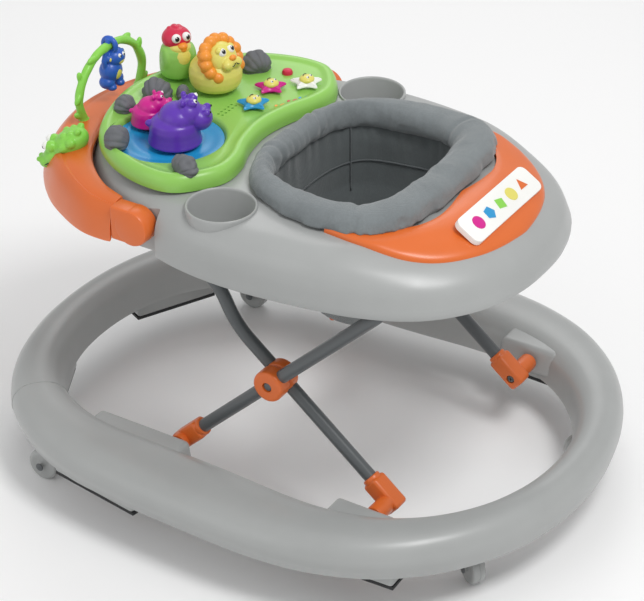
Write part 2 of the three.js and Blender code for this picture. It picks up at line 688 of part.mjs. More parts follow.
// Closing plate of the panel, with the battery lid let into it.
function panelBase() {
  const plan = inset(panelOutline, WALL + 0.4);
  const plate = loft([atHeight(plan, PANEL_BOTTOM), atHeight(plan, PANEL_BOTTOM + 2.4)]);
  const window = [LID.x - LID.halfX, LID.x + LID.halfX, LID.y - LID.halfY, LID.y + LID.halfY];
  return cut(plate, box(...window, 400, 420));
}
place('panel_base', panelBase(), GREY);
place('battery_lid', box(
  LID.x - LID.halfX + 0.4, LID.x + LID.halfX - 0.4, LID.y - LID.halfY + 0.4, LID.y + LID.halfY - 0.4,
  PANEL_BOTTOM, PANEL_BOTTOM + 2.4), GREY);

const LION_TURN = -22;            // the lion looks a little to the child's left
const stem = ([x, y], radius) => rod('z', 418.6, 436, x, y, radius, 12);

function hippo([x, y], size, heading) {
  const ground = 425.6;
  const body = new THREE.CylinderGeometry(size * 0.8, size * 0.9, size * 0.8, 12)
    .rotateX(Math.PI / 2)
    .translate(0, 0, size * 0.4);
  const snout = blob(0, -size * 0.78, size * 0.92, size * 0.48, size * 0.5, size * 0.42);
  const head = blob(0, -size * 0.4, size * 1.12, size * 0.56, size * 0.54, size * 0.54);
  const shape = join(body, snout, head)
    .rotateZ(THREE.MathUtils.degToRad(heading))
    .translate(x, y, ground);
  return join(shape, stem([x, y], 10.6));
}

place('hippo_big', hippo(TOYS.hippoBig, 36, 212), PURPLE);
place('hippo_small', hippo(TOYS.hippoSmall, 24, 212), MAGENTA);

function lion() {
  const [x, y] = TOYS.lion;
  const body = blob(x, y, 452, 32, 32, 20, 14, 7);
  const foot = rod('z', 432, 446, x, y, 26);
  const mane = new THREE.SphereGeometry(1, 14, 6).scale(29, 11, 28).rotateX(0.4).translate(0, 13, 466);
  const face = blob(0, 18, 467, 19, 13, 18);
  const head = join(mane, face).rotateZ(THREE.MathUtils.degToRad(LION_TURN)).translate(x, y, 0);
  return join(body, foot, head, stem(TOYS.lion, 8.6));
}

function frog() {
  const [x, y] = TOYS.frog;
  const foot = rod('z', 432, 446, x, y, 20);
  const body = blob(x, y, 458, 22, 22, 28, 12, 7);
  const cap = blob(x, y - 3, 478, 18, 17, 16);
  const eyes = [1, -1].map((side) => blob(x + side * 7, y + 11, 486, 6, 6, 7, 8, 5));
  return join(body, foot, cap, ...eyes, stem(TOYS.frog, 8.6));
}

place('spinner_lion', lion(), YELLOW);
place('spinner_frog', frog(), GREEN);

function starButton(x, y) {
  const shape = new THREE.Shape();
  for (let i = 0; i < 10; i += 1) {
    const radius = i % 2 === 0 ? 21 : 11.5;
    const angle = (i * Math.PI) / 5;
    shape[i === 0 ? 'moveTo' : 'lineTo'](radius * Math.cos(angle), radius * Math.sin(angle));
  }
  shape.closePath();
  const star = new THREE.ExtrudeGeometry(shape, { depth: 4, bevelEnabled: false }).translate(x, y, 434);
  const face = blob(x, y, 438, 9, 9, 5, 8, 5);
  const post = rod('z', 418, 435, x, y, 6.6, 10);
  return join(star, face, post);
}

for (const [name, x, y, material] of STARS) place(`star_button_${name}`, starButton(x, y), material);

const ROCKS = [                   // name, centre x, y, half sizes
  ['front', 131, -188, 18, 14, 15],
  ['side', 144, -84, 18, 12, 13],
  ['corner', 58, -229, 13, 12, 13],
  ['middle', 9, -217, 18, 15, 17],
  ['small', -4, -189, 9, 8, 10],
  ['far', -114, -158, 19, 15, 17],
];
const pondKeepOut = rod('z', 400, POND.floor + 2.6, POND.x, POND.y, POND.r, 28);
for (const [name, x, y, rx, ry, rz] of ROCKS) {
  place(`rock_${name}`, cut(blob(x, y, 434, rx, ry, rz, 9, 6), panelSkin(-GAP), pondKeepOut), ROCK);
}

// ---- front handle -------------------------------------------------------------------------------
const HANDLE_INNER = [[189, -142], [177, -176], [150, -214], [118, -243], [66, -269], [0, -285]];
const HANDLE_OUTER = [[213, -142], [206, -186], [184, -232], [154, -275], [104, -318], [0, -346]];
const HANDLE_TOP = 399;
const HANDLE_SECTION = [          // across from the tray outwards, height above the lower edge
  [0, 0.12], [0, 0.66], [-0.15, 0.93], [-0.13, 1], [0.46, 0.95], [0.78, 0.78], [0.96, 0.44], [1, 0],
];

function openCurve(half, steps) {
  const left = half.map(([x, y]) => v3(x, y, 0));
  const right = half.slice(0, -1).reverse().map(([x, y]) => v3(-x, y, 0));
  return new THREE.CatmullRomCurve3([...left, ...right], false, 'centripetal').getPoints(steps);
}

function handleRows(filled) {
  const steps = 24;
  const inner = openCurve(HANDLE_INNER, steps);
  const outer = openCurve(HANDLE_OUTER, steps);
  return inner.map((from, i) => {
    const middle = 1 - Math.abs((2 * i) / steps - 1);
    const bottom = 352 - 16 * middle ** 0.6;
    const across = outer[i].clone().sub(from);
    const at = (u, h, sink) =>
      v3(from.x + across.x * u, from.y + across.y * u, bottom + (HANDLE_TOP - bottom) * h - sink);
    const swell = GAP / across.length();
    const wall = WALL / across.length();
    const last = HANDLE_SECTION.length - 1;
    if (filled) {
      return [
        HANDLE_SECTION.map(([u, h]) => at(u * (1 + 2 * swell) - swell, h, -GAP)),
        HANDLE_SECTION.map((_, k) => at(k / last, 0.1 * (1 - k / last), 1)),
      ];
    }
    return [
      HANDLE_SECTION.map(([u, h]) => at(u, h, 0)),
      HANDLE_SECTION.map(([u, h]) => at(wall + u * (1 - 2 * wall), h, h > 0.13 ? WALL : 0)),
    ];
  });
}

// The bar is hollow and open below; its ends are scooped out round the knuckles.
function handleBar() {
  const scoops = sides.flatMap(([, side]) => [
    rod('x', side * 180, side * 230, ...HINGE, KNUCKLE_R + 0.8, 20),
    box(side * 194.6, side * 203.4, -165, HINGE[0], 365.6, 386.4),
  ]);
  return cut(loftRows(handleRows(false)), ...scoops);
}
place('handle_bar', handleBar(), ORANGE);

function knuckle(side) {
  const drum = rod('x', side * (POCKET.x + 1), side * 213, ...HINGE, KNUCKLE_R, 20);
  const tongue = box(side * 195, side * 203, -164, HINGE[0], 366, 386);
  const pin = rod('x', side * (POCKET.x - 9), side * (POCKET.x + 4), ...HINGE, 5);
  const heel = box(side * (POCKET.x + 1), side * 213, -141.6, HINGE[0], 356, 399);
  return join(drum, heel, tongue, pin);
}
for (const [name, side] of sides) place(`handle_knuckle_${name}`, knuckle(side), ORANGE);

// Vine arch standing on the handle.
function vineArch() {
  const half = [[56, 384], [64, 425], [51, 452], [25, 469]];
  const points = [...half.map(([x, z]) => v3(x, ARCH_Y, z)), v3(0, ARCH_Y, 472),
    ...half.slice().reverse().map(([x, z]) => v3(-x, ARCH_Y, z))];
  const vine = sweep(new THREE.CatmullRomCurve3(points, false, 'centripetal'), 4, 26, 6);
  return cut(vine, loftRows(handleRows(true)));
}
place('vine_arch', vineArch(), GREEN);

// Crocodile head lying across the handle, nose outwards.
function crocHead() {
  const head = blob(0, 0, 0, 20, 27, 17, 14, 8);
  const nose = blob(0, -27, -3, 15, 18, 11, 12, 7);
  const eyes = [1, -1].map((side) => blob(side * 9, -12, 14, 7, 7, 7, 8, 6));
  const shape = join(head, nose, ...eyes)
    .rotateX(THREE.MathUtils.degToRad(36))
    .rotateZ(THREE.MathUtils.degToRad(22))
    .translate(115, -270, 398);
  return largestPiece(cut(shape, loftRows(handleRows(true))));
}
place('croc_head', crocHead(), GREEN);

// Monkey that hangs by its hands from the top of the arch.
const GRIP_Z = 472;
function monkey() {
  const grip = new THREE.TorusGeometry(8.8, 3.4, 8, 14).rotateY(Math.PI / 2).translate(-1, ARCH_Y, GRIP_Z);
  const body = blob(-1, ARCH_Y, 440, 13, 12, 16, 12, 8);
  const head = blob(-7, ARCH_Y + 3, 454, 12, 12, 11, 12, 8);
  const feet = [-6, 7].map((x) => blob(x, ARCH_Y - 1, 424, 8, 8, 9, 10, 6));
  return join(grip, body, head, ...feet);
}
place('monkey', monkey(), BLUE);

export default walker;
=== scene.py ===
"""Baby walker: finished surfaces, soft goods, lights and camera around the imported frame."""
import math

import bmesh
import bpy
import numpy as np
from mathutils import Matrix, Vector, noise


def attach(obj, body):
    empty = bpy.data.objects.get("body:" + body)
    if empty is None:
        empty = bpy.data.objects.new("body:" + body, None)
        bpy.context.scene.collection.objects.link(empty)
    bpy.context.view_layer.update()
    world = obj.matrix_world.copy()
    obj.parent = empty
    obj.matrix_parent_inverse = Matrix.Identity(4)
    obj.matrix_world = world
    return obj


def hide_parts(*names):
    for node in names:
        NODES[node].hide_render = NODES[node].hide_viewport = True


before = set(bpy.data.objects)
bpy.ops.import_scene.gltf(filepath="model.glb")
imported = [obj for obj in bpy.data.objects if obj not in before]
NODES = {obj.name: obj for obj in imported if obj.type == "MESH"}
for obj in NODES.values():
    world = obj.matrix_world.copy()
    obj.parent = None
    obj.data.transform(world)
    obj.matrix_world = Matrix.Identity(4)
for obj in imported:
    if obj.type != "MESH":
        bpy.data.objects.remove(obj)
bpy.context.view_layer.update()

MM = 0.001
SIDES = (("left", 1), ("right", -1))
PAIR = ((-1, "a"), (1, "b"))

# ---- driving sizes, in millimetres --------------------------------------------------------------
RING_HALF = [(0, -374), (78, -367), (153, -344), (219, -301), (266, -240), (293, -169), (303, -98),
             (309, 0), (309, 100), (297, 171), (267, 240), (217, 298), (152, 341), (78, 366), (0, 374)]
RING_SECTION = [(0.09, 0), (0, 0.42), (0.07, 0.78), (0.24, 0.96), (0.44, 1), (0.68, 0.95),
                (0.88, 0.72), (1, 0)]
RING_Z = (60, 110)
CASTERS = (("front_left", 231, -253, 0), ("front_right", -231, -253, 0),
           ("rear_left", 142, 302, 145), ("rear_right", -142, 302, -145))
WHEEL_R, TRAIL = 20, 9
STOPS = (((74, -331), (178, -280), 30, 97), ((248, -201), (268, -74), 34, 106),
         ((232, 150), (228, 250), 33, 97))
TUBE_R, BOSS_X = 8, 189
BOSS_FRONT, BOSS_REAR = (-182, -54), (150, 228)
FRAME_A_X, FRAME_B_X = 151, 169
FOOT_A, FOOT_B, HUB = (193, 84), (-76, 84), (46, 203)
LEG_A = [FOOT_A, (-14, 251.5), (-40, 303), (-88, 330)]
LEG_B = [FOOT_B, (189.5, 343)]
SLIDE_B = (-163, 85)
TRAY_HALF = [(0, -281), (66, -265), (122, -233), (166, -182), (192, -118), (209, -58), (215, 5),
             (209, 85), (190, 176), (158, 236), (108, 277), (52, 296), (0, 300)]
TRAY_PROFILE = [(5, 341, 0), (0, 352, 0), (0, 374, 10), (5, 389, 24), (14, 399, 38), (27, 406, 46),
                (46, 409, 42), (74, 410, 34)]
POCKET_X, POCKET_Y = 187, (-150, -88)
COVER_FRONT, SEAT_HOLE_INSET = 106, 17
PLATE_TILT, PLATE_SPOT = -32, (0, 240, 414.2)
CUP = (163, -23, 38, 58, 411)
SEAT_HALF = [(0, -50), (72, -43), (118, -16), (148, 38), (155, 100), (142, 154), (104, 185),
             (52, 195), (0, 196)]
SEAT_CENTRE = (0, 73)
SEAT_REST, BAG_Y = 411, 66
LEG_HOLE, LEG_HOLE_R, LEG_HOLE_TILT = (50, 78, 318), 38, -44
PANEL_HALF = [(0, -263), (62, -252), (116, -225), (154, -180), (172, -128), (170, -88), (149, -64),
              (117, -47), (82, -49), (45, -62), (0, -69)]
POND = (80, -151, 65, 419)
HIPPO_BIG, HIPPO_SMALL = (86, -138), (65, -190)
LION, FROG = (-44, -169), (-47, -226)
LION_TURN = -10
HINGE, KNUCKLE_R = (-114, 377), 22
HANDLE_INNER = [(189, -142), (177, -176), (150, -214), (118, -243), (66, -269), (0, -285)]
HANDLE_OUTER = [(213, -142), (206, -186), (184, -232), (154, -275), (104, -318), (0, -346)]
ARCH_Y = -292

# ---- shape helpers: a shape is a list of points in millimetres and a list of faces --------------


def angles(count):
    """Evenly spaced angles round a circle."""
    return [2 * math.pi * k / count for k in range(count)]


def oval(rx, ry, corners, turn=0.0):
    """Corner points of a flat polygon or oval round the origin."""
    return [Vector((rx * math.cos(a + turn), ry * math.sin(a + turn), 0)) for a in angles(corners)]


def spaced(points, closed, count):
    """Evenly spaced points along a polyline."""
    p = np.array([tuple(q) for q in points], float)
    if closed:
        p = np.vstack([p, p[:1]])
    run = np.concatenate([[0], np.cumsum(np.linalg.norm(np.diff(p, axis=0), axis=1))])
    at = np.linspace(0, run[-1], count + 1 if closed else count)
    if closed:
        at = at[:-1]
    return [Vector([np.interp(t, run, p[:, k]) for k in range(3)]) for t in at]


def smooth_curve(points, closed, count):
    """Evenly spaced points on a centripetal Catmull-Rom curve."""
    p = [Vector((*q, 0)[:3]) for q in points]
    p = [p[-1], *p, p[0], p[1]] if closed else [2 * p[0] - p[1], *p, 2 * p[-1] - p[-2]]
    dense = []
    for a, b, c, d in zip(p, p[1:], p[2:], p[3:]):
        t0, t1, t2 = (max((v - u).length, 1e-4) ** 0.5 for u, v in ((a, b), (b, c), (c, d)))
        m1 = ((b - a) / t0 - (c - a) / (t0 + t1) + (c - b) / t1) * t1
        m2 = ((c - b) / t1 - (d - b) / (t1 + t2) + (d - c) / t2) * t1
        for k in range(20):
            s = k / 20
            dense.append(b + m1 * s + (3 * (c - b) - 2 * m1 - m2) * s * s
                         + (2 * (b - c) + m1 + m2) * s ** 3)
    if not closed:
        dense.append(p[-2])
    return spaced(dense, closed, count)


def mirrored(half, count):
    """A left half outline, front to rear, mirrored into a closed smooth plan curve."""
    right = [(-x, y) for x, y in half[1:-1]][::-1]
    return smooth_curve([*half, *right], True, count)


def inward(outline):
    """Unit directions into a closed plan outline."""
    n = len(outline)
    out = []
    for i in range(n):
        along = (outline[(i + 1) % n] - outline[i - 1]).normalized()
        out.append(Vector((-along.y, along.x, 0)))
    return out


def inset(outline, distance):
    return [p + d * distance for p, d in zip(outline, inward(outline))]


def at_height(outline, z):
    return [Vector((p.x, p.y, z)) for p in outline]


def grid(rows, around=True, looped=False, caps=True):
    """Skin over rows of points; each row closes on itself when around is true."""
    n = len(rows[0])
    verts = [Vector(p) for row in rows for p in row]
    faces = []
    for r in range(len(rows) if looped else len(rows) - 1):
        s = (r + 1) % len(rows)
        for i in range(n if around else n - 1):
            j = (i + 1) % n
            faces.append((r * n + i, r * n + j, s * n + j, s * n + i))
    if caps and not looped and around:
        faces.append(tuple(range(n))[::-1])
        faces.append(tuple(range((len(rows) - 1) * n, len(rows) * n)))
    return verts, faces


def lathe(profile, turns=48):
    """Solid of revolution about Z from (radius, height) points that start and end on the axis."""
    verts, faces = [Vector((0, 0, profile[0][1]))], []
    rings = profile[1:-1]
    for r, z in rings:
        verts += at_height(oval(r, r, turns), z)
    verts.append(Vector((0, 0, profile[-1][1])))
    last = len(verts) - 1
    for k in range(turns):
        j = (k + 1) % turns
        faces.append((0, 1 + j, 1 + k))
        for r in range(len(rings) - 1):
            a, b = 1 + r * turns, 1 + (r + 1) * turns
            faces.append((a + k, a + j, b + j, b + k))
        faces.append((last, last - turns + k, last - turns + j))
    return verts, faces


def moved(shape, matrix):
    return [matrix @ v for v in shape[0]], shape[1]


def shifted(shape, x=0, y=0, z=0):
    return moved(shape, Matrix.Translation((x, y, z)))


def turned(shape, degrees, axis, centre=(0, 0, 0)):
    c = Matrix.Translation(centre)
    return moved(shape, c @ Matrix.Rotation(math.radians(degrees), 4, axis) @ c.inverted())


def joined(*shapes):
    verts, faces = [], []
    for v, f in shapes:
        faces += [tuple(i + len(verts) for i in face) for face in f]
        verts += v
    return verts, faces


def mirror_x(shape):
    return [Vector((-v.x, v.y, v.z)) for v in shape[0]], [tuple(reversed(f)) for f in shape[1]]


def rod(axis, start, end, a, b, radius, edge=1.0, turns=40):
    """Round bar with eased ends along X, Y or Z; a and b place it in the other two directions."""
    low, high = min(start, end), max(start, end)
    e = min(edge, radius * 0.9, (high - low) / 2.2)
    profile = [(0, low), (radius - e, low), (radius - e * 0.3, low + e * 0.3), (radius, low + e),
               (radius, high - e), (radius - e * 0.3, high - e * 0.3), (radius - e, high), (0, high)]
    shape = lathe(profile, turns)
    if axis == "x":
        return shifted(turned(turned(shape, 90, "Y"), 90, "X"), 0, a, b)
    if axis == "y":
        return shifted(turned(shape, -90, "X"), a, 0, b)
    return shifted(shape, a, b, 0)


def ball(x, y, z, rx, ry, rz, turns=28):
    steps = turns // 2
    profile = [(math.sin(a), -math.cos(a)) for a in (math.pi * k / steps for k in range(steps + 1))]
    shape = lathe(profile, turns)
    return shifted(moved(shape, Matrix.Diagonal((rx, ry, rz, 1))), x, y, z)


def block(x0, x1, y0, y1, z0, z1, edge=2.0):
    """Box with rounded edges."""
    x0, x1 = sorted((x0, x1))
    bm = bmesh.new()
    bmesh.ops.create_cube(bm, size=1)
    scale = Matrix.Diagonal((x1 - x0, y1 - y0, z1 - z0, 1))
    bm.transform(Matrix.Translation(((x0 + x1) / 2, (y0 + y1) / 2, (z0 + z1) / 2)) @ scale)
    bmesh.ops.bevel(bm, geom=bm.edges[:], offset=edge, segments=4, profile=0.5, affect="EDGES")
    shape = [v.co.copy() for v in bm.verts], [tuple(v.index for v in f.verts) for f in bm.faces]
    bm.free()
    return shape


def prism(outline, z0, z1, edge=1.5, steps=4):
    """Upright solid on a closed plan outline with a rounded upper edge."""
    rows = [at_height(outline, z0)]
    for k in range(steps + 1):
        a = math.pi / 2 * k / steps
        rows.append(at_height(inset(outline, edge * (1 - math.cos(a))), z1 - edge * (1 - math.sin(a))))
    return grid(rows)


def circle(centre, u, v, radius, turns):
    return [centre + (u * math.cos(a) + v * math.sin(a)) * radius for a in angles(turns)]


def tube(path, radius, turns=28):
    """Round bar along a path of points; radius may be a list."""
    p = [Vector(q) for q in path]
    radii = radius if isinstance(radius, list) else [radius] * len(p)
    normal = None
    rows = []
    for i, q in enumerate(p):
        ahead = (p[min(i + 1, len(p) - 1)] - p[max(i - 1, 0)]).normalized()
        if normal is None:
            normal = ahead.orthogonal().normalized()
        normal = (normal - ahead * normal.dot(ahead)).normalized()
        rows.append(circle(q, normal, ahead.cross(normal), radii[i], turns))
    return grid(rows)


def rounded_path(points, radius, steps=8):
    """Straight runs joined by curved corners."""
    p = [Vector(q) for q in points]
    path = [p[0]]
    for a, b, c in zip(p, p[1:], p[2:]):
        enter = b + (a - b).normalized() * radius
        leave = b + (c - b).normalized() * radius
        for k in range(steps + 1):
            t = k / steps
            path.append(enter * (1 - t) ** 2 + b * 2 * t * (1 - t) + leave * t * t)
    path.append(p[-1])
    dense = []
    for a, b in zip(path, path[1:]):
        cuts = max(1, int((b - a).length / 6))
        dense += [a.lerp(b, k / cuts) for k in range(cuts)]
    return [*dense, path[-1]]


# ---- objects ------------------------------------------------------------------------------------


def solid(name, shape):
    mesh = bpy.data.meshes.new(name)
    mesh.from_pydata([tuple(v * MM) for v in shape[0]], [], shape[1])
    bm = bmesh.new()
    bm.from_mesh(mesh)
    bmesh.ops.recalc_face_normals(bm, faces=bm.faces)
    bm.to_mesh(mesh)
    bm.free()
    obj = bpy.data.objects.new(name, mesh)
    bpy.context.scene.collection.objects.link(obj)
    return obj


def settle(obj):
    """Applies every modifier."""
    bpy.context.view_layer.update()
    done = obj.evaluated_get(bpy.context.evaluated_depsgraph_get())
    mesh = bpy.data.meshes.new_from_object(done)
    obj.modifiers.clear()
    obj.data = mesh


def modify(obj, kind, **values):
    m = obj.modifiers.new(kind.title(), kind)
    for key, value in values.items():
        setattr(m, key, value)
    settle(obj)


def cut(obj, cutter):
    """Cuts one object's volume out of another, and deletes the cutter."""
    modify(obj, "BOOLEAN", operation="DIFFERENCE", object=cutter, solver="EXACT")
    bpy.data.objects.remove(cutter)


def carve(obj, *tools):
    for tool in tools:
        cut(obj, solid("cutter", tool))


def merge(obj, *others):
    """Joins other objects into the first one."""
    for other in others:
        with bpy.context.temp_override(active_object=obj, selected_editable_objects=[obj, other]):
            bpy.ops.object.join()


def melt(obj, voxel, rounds=6, factor=0.5):
    """Fuses overlapping shapes into one soft-edged skin."""
    modify(obj, "REMESH", mode="VOXEL", voxel_size=voxel * MM)
    modify(obj, "SMOOTH", factor=factor, iterations=rounds)


def finish(obj, material, body, replaces=(), angle=38):
    """Gives a piece its shading, material and body, and hides the frame nodes it stands for."""
    mesh = obj.data
    mesh.materials.clear()
    mesh.materials.append(material)
    mesh.polygons.foreach_set("use_smooth", [True] * len(mesh.polygons))
    if angle:
        mesh.set_sharp_from_angle(angle=math.radians(angle))
    mesh.update()
    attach(obj, body)
    if replaces:
        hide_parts(*([replaces] if isinstance(replaces, str) else replaces))
    return obj


def piece(name, shape, material, body, replaces=(), angle=38, slot=None):
    return finish(solid(name, shape), material, body, replaces, angle)


# ---- materials ----------------------------------------------------------------------------------


class Paint:
    """A material in the making. Every input takes a value or another node's output."""

    def __init__(self, name):
        self.material = bpy.data.materials.new(name)
        self.material.use_nodes = True
        self.tree = self.material.node_tree
        self.place = self.node("TexCoord", "Object", {})

    def feed(self, node, inputs):
        for key, value in inputs.items():
            if isinstance(value, bpy.types.NodeSocket):
                self.tree.links.new(value, node.inputs[key])
            else:
                node.inputs[key].default_value = value

    def node(self, kind, output, inputs, **settings):
        """Adds a node and returns one of its outputs."""
        node = self.tree.nodes.new(f"ShaderNode{kind}")
        for key, value in settings.items():
            setattr(node, key, value)
        self.feed(node, inputs)
        return node.outputs[output]

    def texture(self, scale, detail, roughness=0.5):
        return self.node("TexNoise", "Fac", {"Vector": self.place, "Scale": scale, "Detail": detail,
                                             "Roughness": roughness})

    def ramp(self, factor, base, places, shares):
        """Runs from a darker to a lighter share of a base colour."""
        node = self.tree.nodes.new("ShaderNodeValToRGB")
        self.tree.links.new(factor, node.inputs["Fac"])
        for stop, place, share in zip(node.color_ramp.elements, places, shares):
            stop.position = place
            stop.color = tint(base, share)
        return node.outputs["Color"]

    def done(self, inputs):
        self.feed(self.tree.nodes["Principled BSDF"], inputs)
        return self.material


def srgb(color):
    return tuple((c / 255 / 12.92) if c / 255 <= 0.04045 else ((c / 255 + 0.055) / 1.055) ** 2.4
                 for c in color)


def tint(base, share, lift=0.0):
    return tuple(min(1, c * share + lift) for c in base) + (1,)


def plastic(name, color, rough=0.36, grain=0.06, coat=0.15, vary=0.05, edge_highlight=0.25):
    """Moulded plastic: faint spark-eroded grain, slow colour drift, and a painted highlight that lightens
    the convex edges.
    """
    paint = Paint(name)
    base = srgb(color)
    drift = paint.ramp(paint.texture(9, 4, 0.55), base, (0.3, 0.72), (1 - vary, 1 + vary))
    # painted highlight: the sharper an edge bulges, the closer its colour goes to a paler tint of the base
    # colour
    edge = paint.node("NewGeometry", "Pointiness", {})
    edge_highlight_mask = paint.node("MapRange", "Result", {"Value": edge, "From Min": 0.53, "From Max": 0.62,
                                            "To Max": edge_highlight})
    edge_lit_colour = paint.node("Mix", "Result", {"Factor": edge_highlight_mask, "A": drift, "B": tint(base, 1.25, 0.03)},
                      data_type="RGBA")
    gloss = paint.node("MapRange", "Result", {"Value": paint.texture(34, 5, 0.65), "To Min": rough - 0.06,
                                              "To Max": rough + 0.08})
    bump = paint.node("Bump", "Normal", {"Height": paint.texture(1500, 2, 0.55), "Strength": grain,
                                         "Distance": 0.0004})
    return paint.done({"Base Color": edge_lit_colour, "Roughness": gloss, "Normal": bump, "Coat Weight": coat,
                       "Coat Roughness": 0.22, "Specular IOR Level": 0.45})


def woven(name, color, scale=820):
    """Plain-weave polyester: crossing yarns, uneven dye and a soft sheen."""
    paint = Paint(name)
    yarn = {"Vector": paint.place, "Scale": scale / 2, "Distortion": 0.6, "Detail": 1}
    x, y, z = [paint.node("TexWave", "Fac", yarn, bands_direction=axis) for axis in "XYZ"]
    cross = paint.node("Math", 0, {0: x, 1: y}, operation="MULTIPLY")
    weave = paint.node("Math", 0, {0: cross, 1: z}, operation="ADD")
    cloud, fuzz = paint.texture(26, 6), paint.texture(420, 4)
    part = paint.node("Math", 0, {0: cloud, 1: 0.55}, operation="MULTIPLY")
    uneven = paint.node("Math", 0, {0: fuzz, 1: 0.45, 2: part}, operation="MULTIPLY_ADD")
    dye = paint.ramp(uneven, srgb(color), (0.3, 0.75), (0.84, 1.13))
    rough = paint.node("MapRange", "Result", {"Value": fuzz, "To Min": 0.72, "To Max": 0.95})
    bump = paint.node("Bump", "Normal", {"Height": weave, "Strength": 0.35, "Distance": 0.0006})
    return paint.done({"Base Color": dye, "Roughness": rough, "Normal": bump, "Sheen Weight": 0.35,
                       "Sheen Roughness": 0.45, "Specular IOR Level": 0.25})


GREY = plastic("shell_grey", (164, 166, 165), 0.34)
ORANGE = plastic("orange_plastic", (218, 106, 42), 0.34)
STEEL = plastic("tube_grey", (84, 88, 90), 0.34, grain=0.12, coat=0.3, edge_highlight=0.15)
RUBBER = plastic("rubber_black", (44, 45, 46), 0.75, grain=0.3, coat=0, edge_highlight=0.1)
GREEN = plastic("green_plastic", (144, 200, 92), 0.32)
LEAF = plastic("leaf_green", (136, 208, 78), 0.4)
BLUE = plastic("blue_plastic", (40, 92, 190), 0.34)
WATER = plastic("pond_blue", (36, 148, 204), 0.3)
PURPLE = plastic("purple_plastic", (92, 48, 172), 0.32)
MAGENTA = plastic("magenta_plastic", (206, 20, 138), 0.34)
YELLOW = plastic("yellow_plastic", (224, 214, 106), 0.36)
MANE = plastic("mane_orange", (240, 150, 48), 0.4)
RED = plastic("red_plastic", (206, 34, 70), 0.36)
WHITE = plastic("white_plastic", (240, 240, 236), 0.34)
BLACK = plastic("black_plastic", (22, 22, 24), 0.25, edge_highlight=0)
ROCK = plastic("rock_grey", (104, 106, 110), 0.62, grain=0.4, coat=0, vary=0.14, edge_highlight=0.6)
FABRIC = woven("seat_fabric", (124, 130, 132))
LINING = woven("seat_lining", (100, 106, 107))
THREAD = woven("seat_piping", (96, 101, 103), scale=1400)

# ---- base ring ----------------------------------------------------------------------------------
ring_outline = mirrored(RING_HALF, 220)


def ring_rows(outside_steps=22, wall=3.5):
    section = smooth_curve(RING_SECTION, False, outside_steps)
    low, high = RING_Z
    rows = []
    for p, d in zip(ring_outline, inward(ring_outline)):
        angle = math.atan2(p.x, p.y)
        width = 80 - math.cos(angle) - 26 * math.cos(2 * angle)

        def at(across, up, shift):
            reach = across * (width - 2 * shift) + shift
            return (p.x + d.x * reach, p.y + d.y * reach, low + up * (high - low - shift))
        outside = [at(q.x, q.y, 0) for q in section]
        rows.append(outside + [at(q.x, q.y, wall) for q in section[::3]][::-1])
    return rows


def bar_on_plan(a, b, width, z0, z1, edge):
    length = math.dist(a, b)
    angle = math.degrees(math.atan2(b[1] - a[1], b[0] - a[0]))
    shape = block(-length / 2, length / 2, -width / 2, width / 2, z0, z1, edge)
    return shifted(turned(shape, angle, "Z"), (a[0] + b[0]) / 2, (a[1] + b[1]) / 2)


def boss(side, span):
    """Foot boss: a moulded block whose inner face leans outward in its upper part."""
    depth, lean_from = 46, 80
    verts, faces = block(BOSS_X, BOSS_X + depth, *span, 66, 101, 6)
    for v in verts:
        if v.x < BOSS_X + 20:
            v.x += max(0, v.z - lean_from) * 0.3
    return (verts, faces) if side > 0 else mirror_x((verts, faces))


def slot_cutter(x0, x1):
    """Straight slot with round ends, which the front foot's pin slides in."""
    radius = 6.3
    shape = joined(block(x0, x1, SLIDE_B[0], FOOT_B[0], FOOT_B[1] - 6.2, FOOT_B[1] + 6.4, 0.1),
                   rod("x", x0, x1, *FOOT_B, radius, 0.1), rod("x", x0, x1, *SLIDE_B, radius, 0.1))
    cutter = solid("cutter", shape)
    modify(cutter, "REMESH", mode="VOXEL", voxel_size=0.8 * MM)
    return cutter


ring_body = solid("ring_moulding", grid(ring_rows(), True, True))
bosses = []
for _, side in SIDES:
    x0, x1 = side * (BOSS_X - 5), side * (BOSS_X + 17)
    front = solid("boss", boss(side, BOSS_FRONT))
    cut(front, slot_cutter(x0, x1))
    rear = solid("boss", boss(side, BOSS_REAR))
    carve(rear, rod("x", x0, x1, *FOOT_A, 5.3, 0.1))
    bosses += [front, rear]
lower = []
for a, b, width, rib_top in STOPS:
    shape = joined(bar_on_plan(a, b, width, 42.3, 66, 4), bar_on_plan(a, b, 14, 60, rib_top, 2))
    lower += [shape, mirror_x(shape)]
for _, x, y, _ in CASTERS:
    lower.append(rod("z", 56, 101, x, y, 11, 1.5))
merge(ring_body, *bosses, solid("ring_blocks", joined(*lower)))
finish(ring_body, GREY, "base", "base_ring", 42)

# parting line where the two halves of the ring meet, one bead on each side of the front
fine_rows = ring_rows(30)
for name, side in SIDES:
    corner = Vector((side * 226, -292, 0))
    start = min(range(len(ring_outline)), key=lambda i: (ring_outline[i] - corner).length)
    seam = tube(fine_rows[start][2:26], 0.7, 10)
    piece(f"ring_seam_{name}", seam, GREY, "base", angle=0, slot="shell_grey")

# ---- casters ------------------------------------------------------------------------------------


def fork_shape():
    outline = []
    for k in range(25):
        a = math.radians(-100 + 230 * k / 24)
        outline.append((TRAIL + 14 * math.cos(a), WHEEL_R + 14 * math.sin(a)))
    outline += [(-6, 38), (-11, 42), (-11, 50), (20, 50), (22, 44)]
    outline = [p for p in outline if p[1] <= 46 or p in outline[-5:]]
    hull = sorted(outline, key=lambda p: math.atan2(p[1] - 32, p[0] - 6))
    flat = smooth_curve(hull, True, 72)
    shape = prism(flat, -12, 12, 1.8)
    return moved(shape, Matrix(((0, 0, 1, 0), (1, 0, 0, 0), (0, 1, 0, 0), (0, 0, 0, 1))))


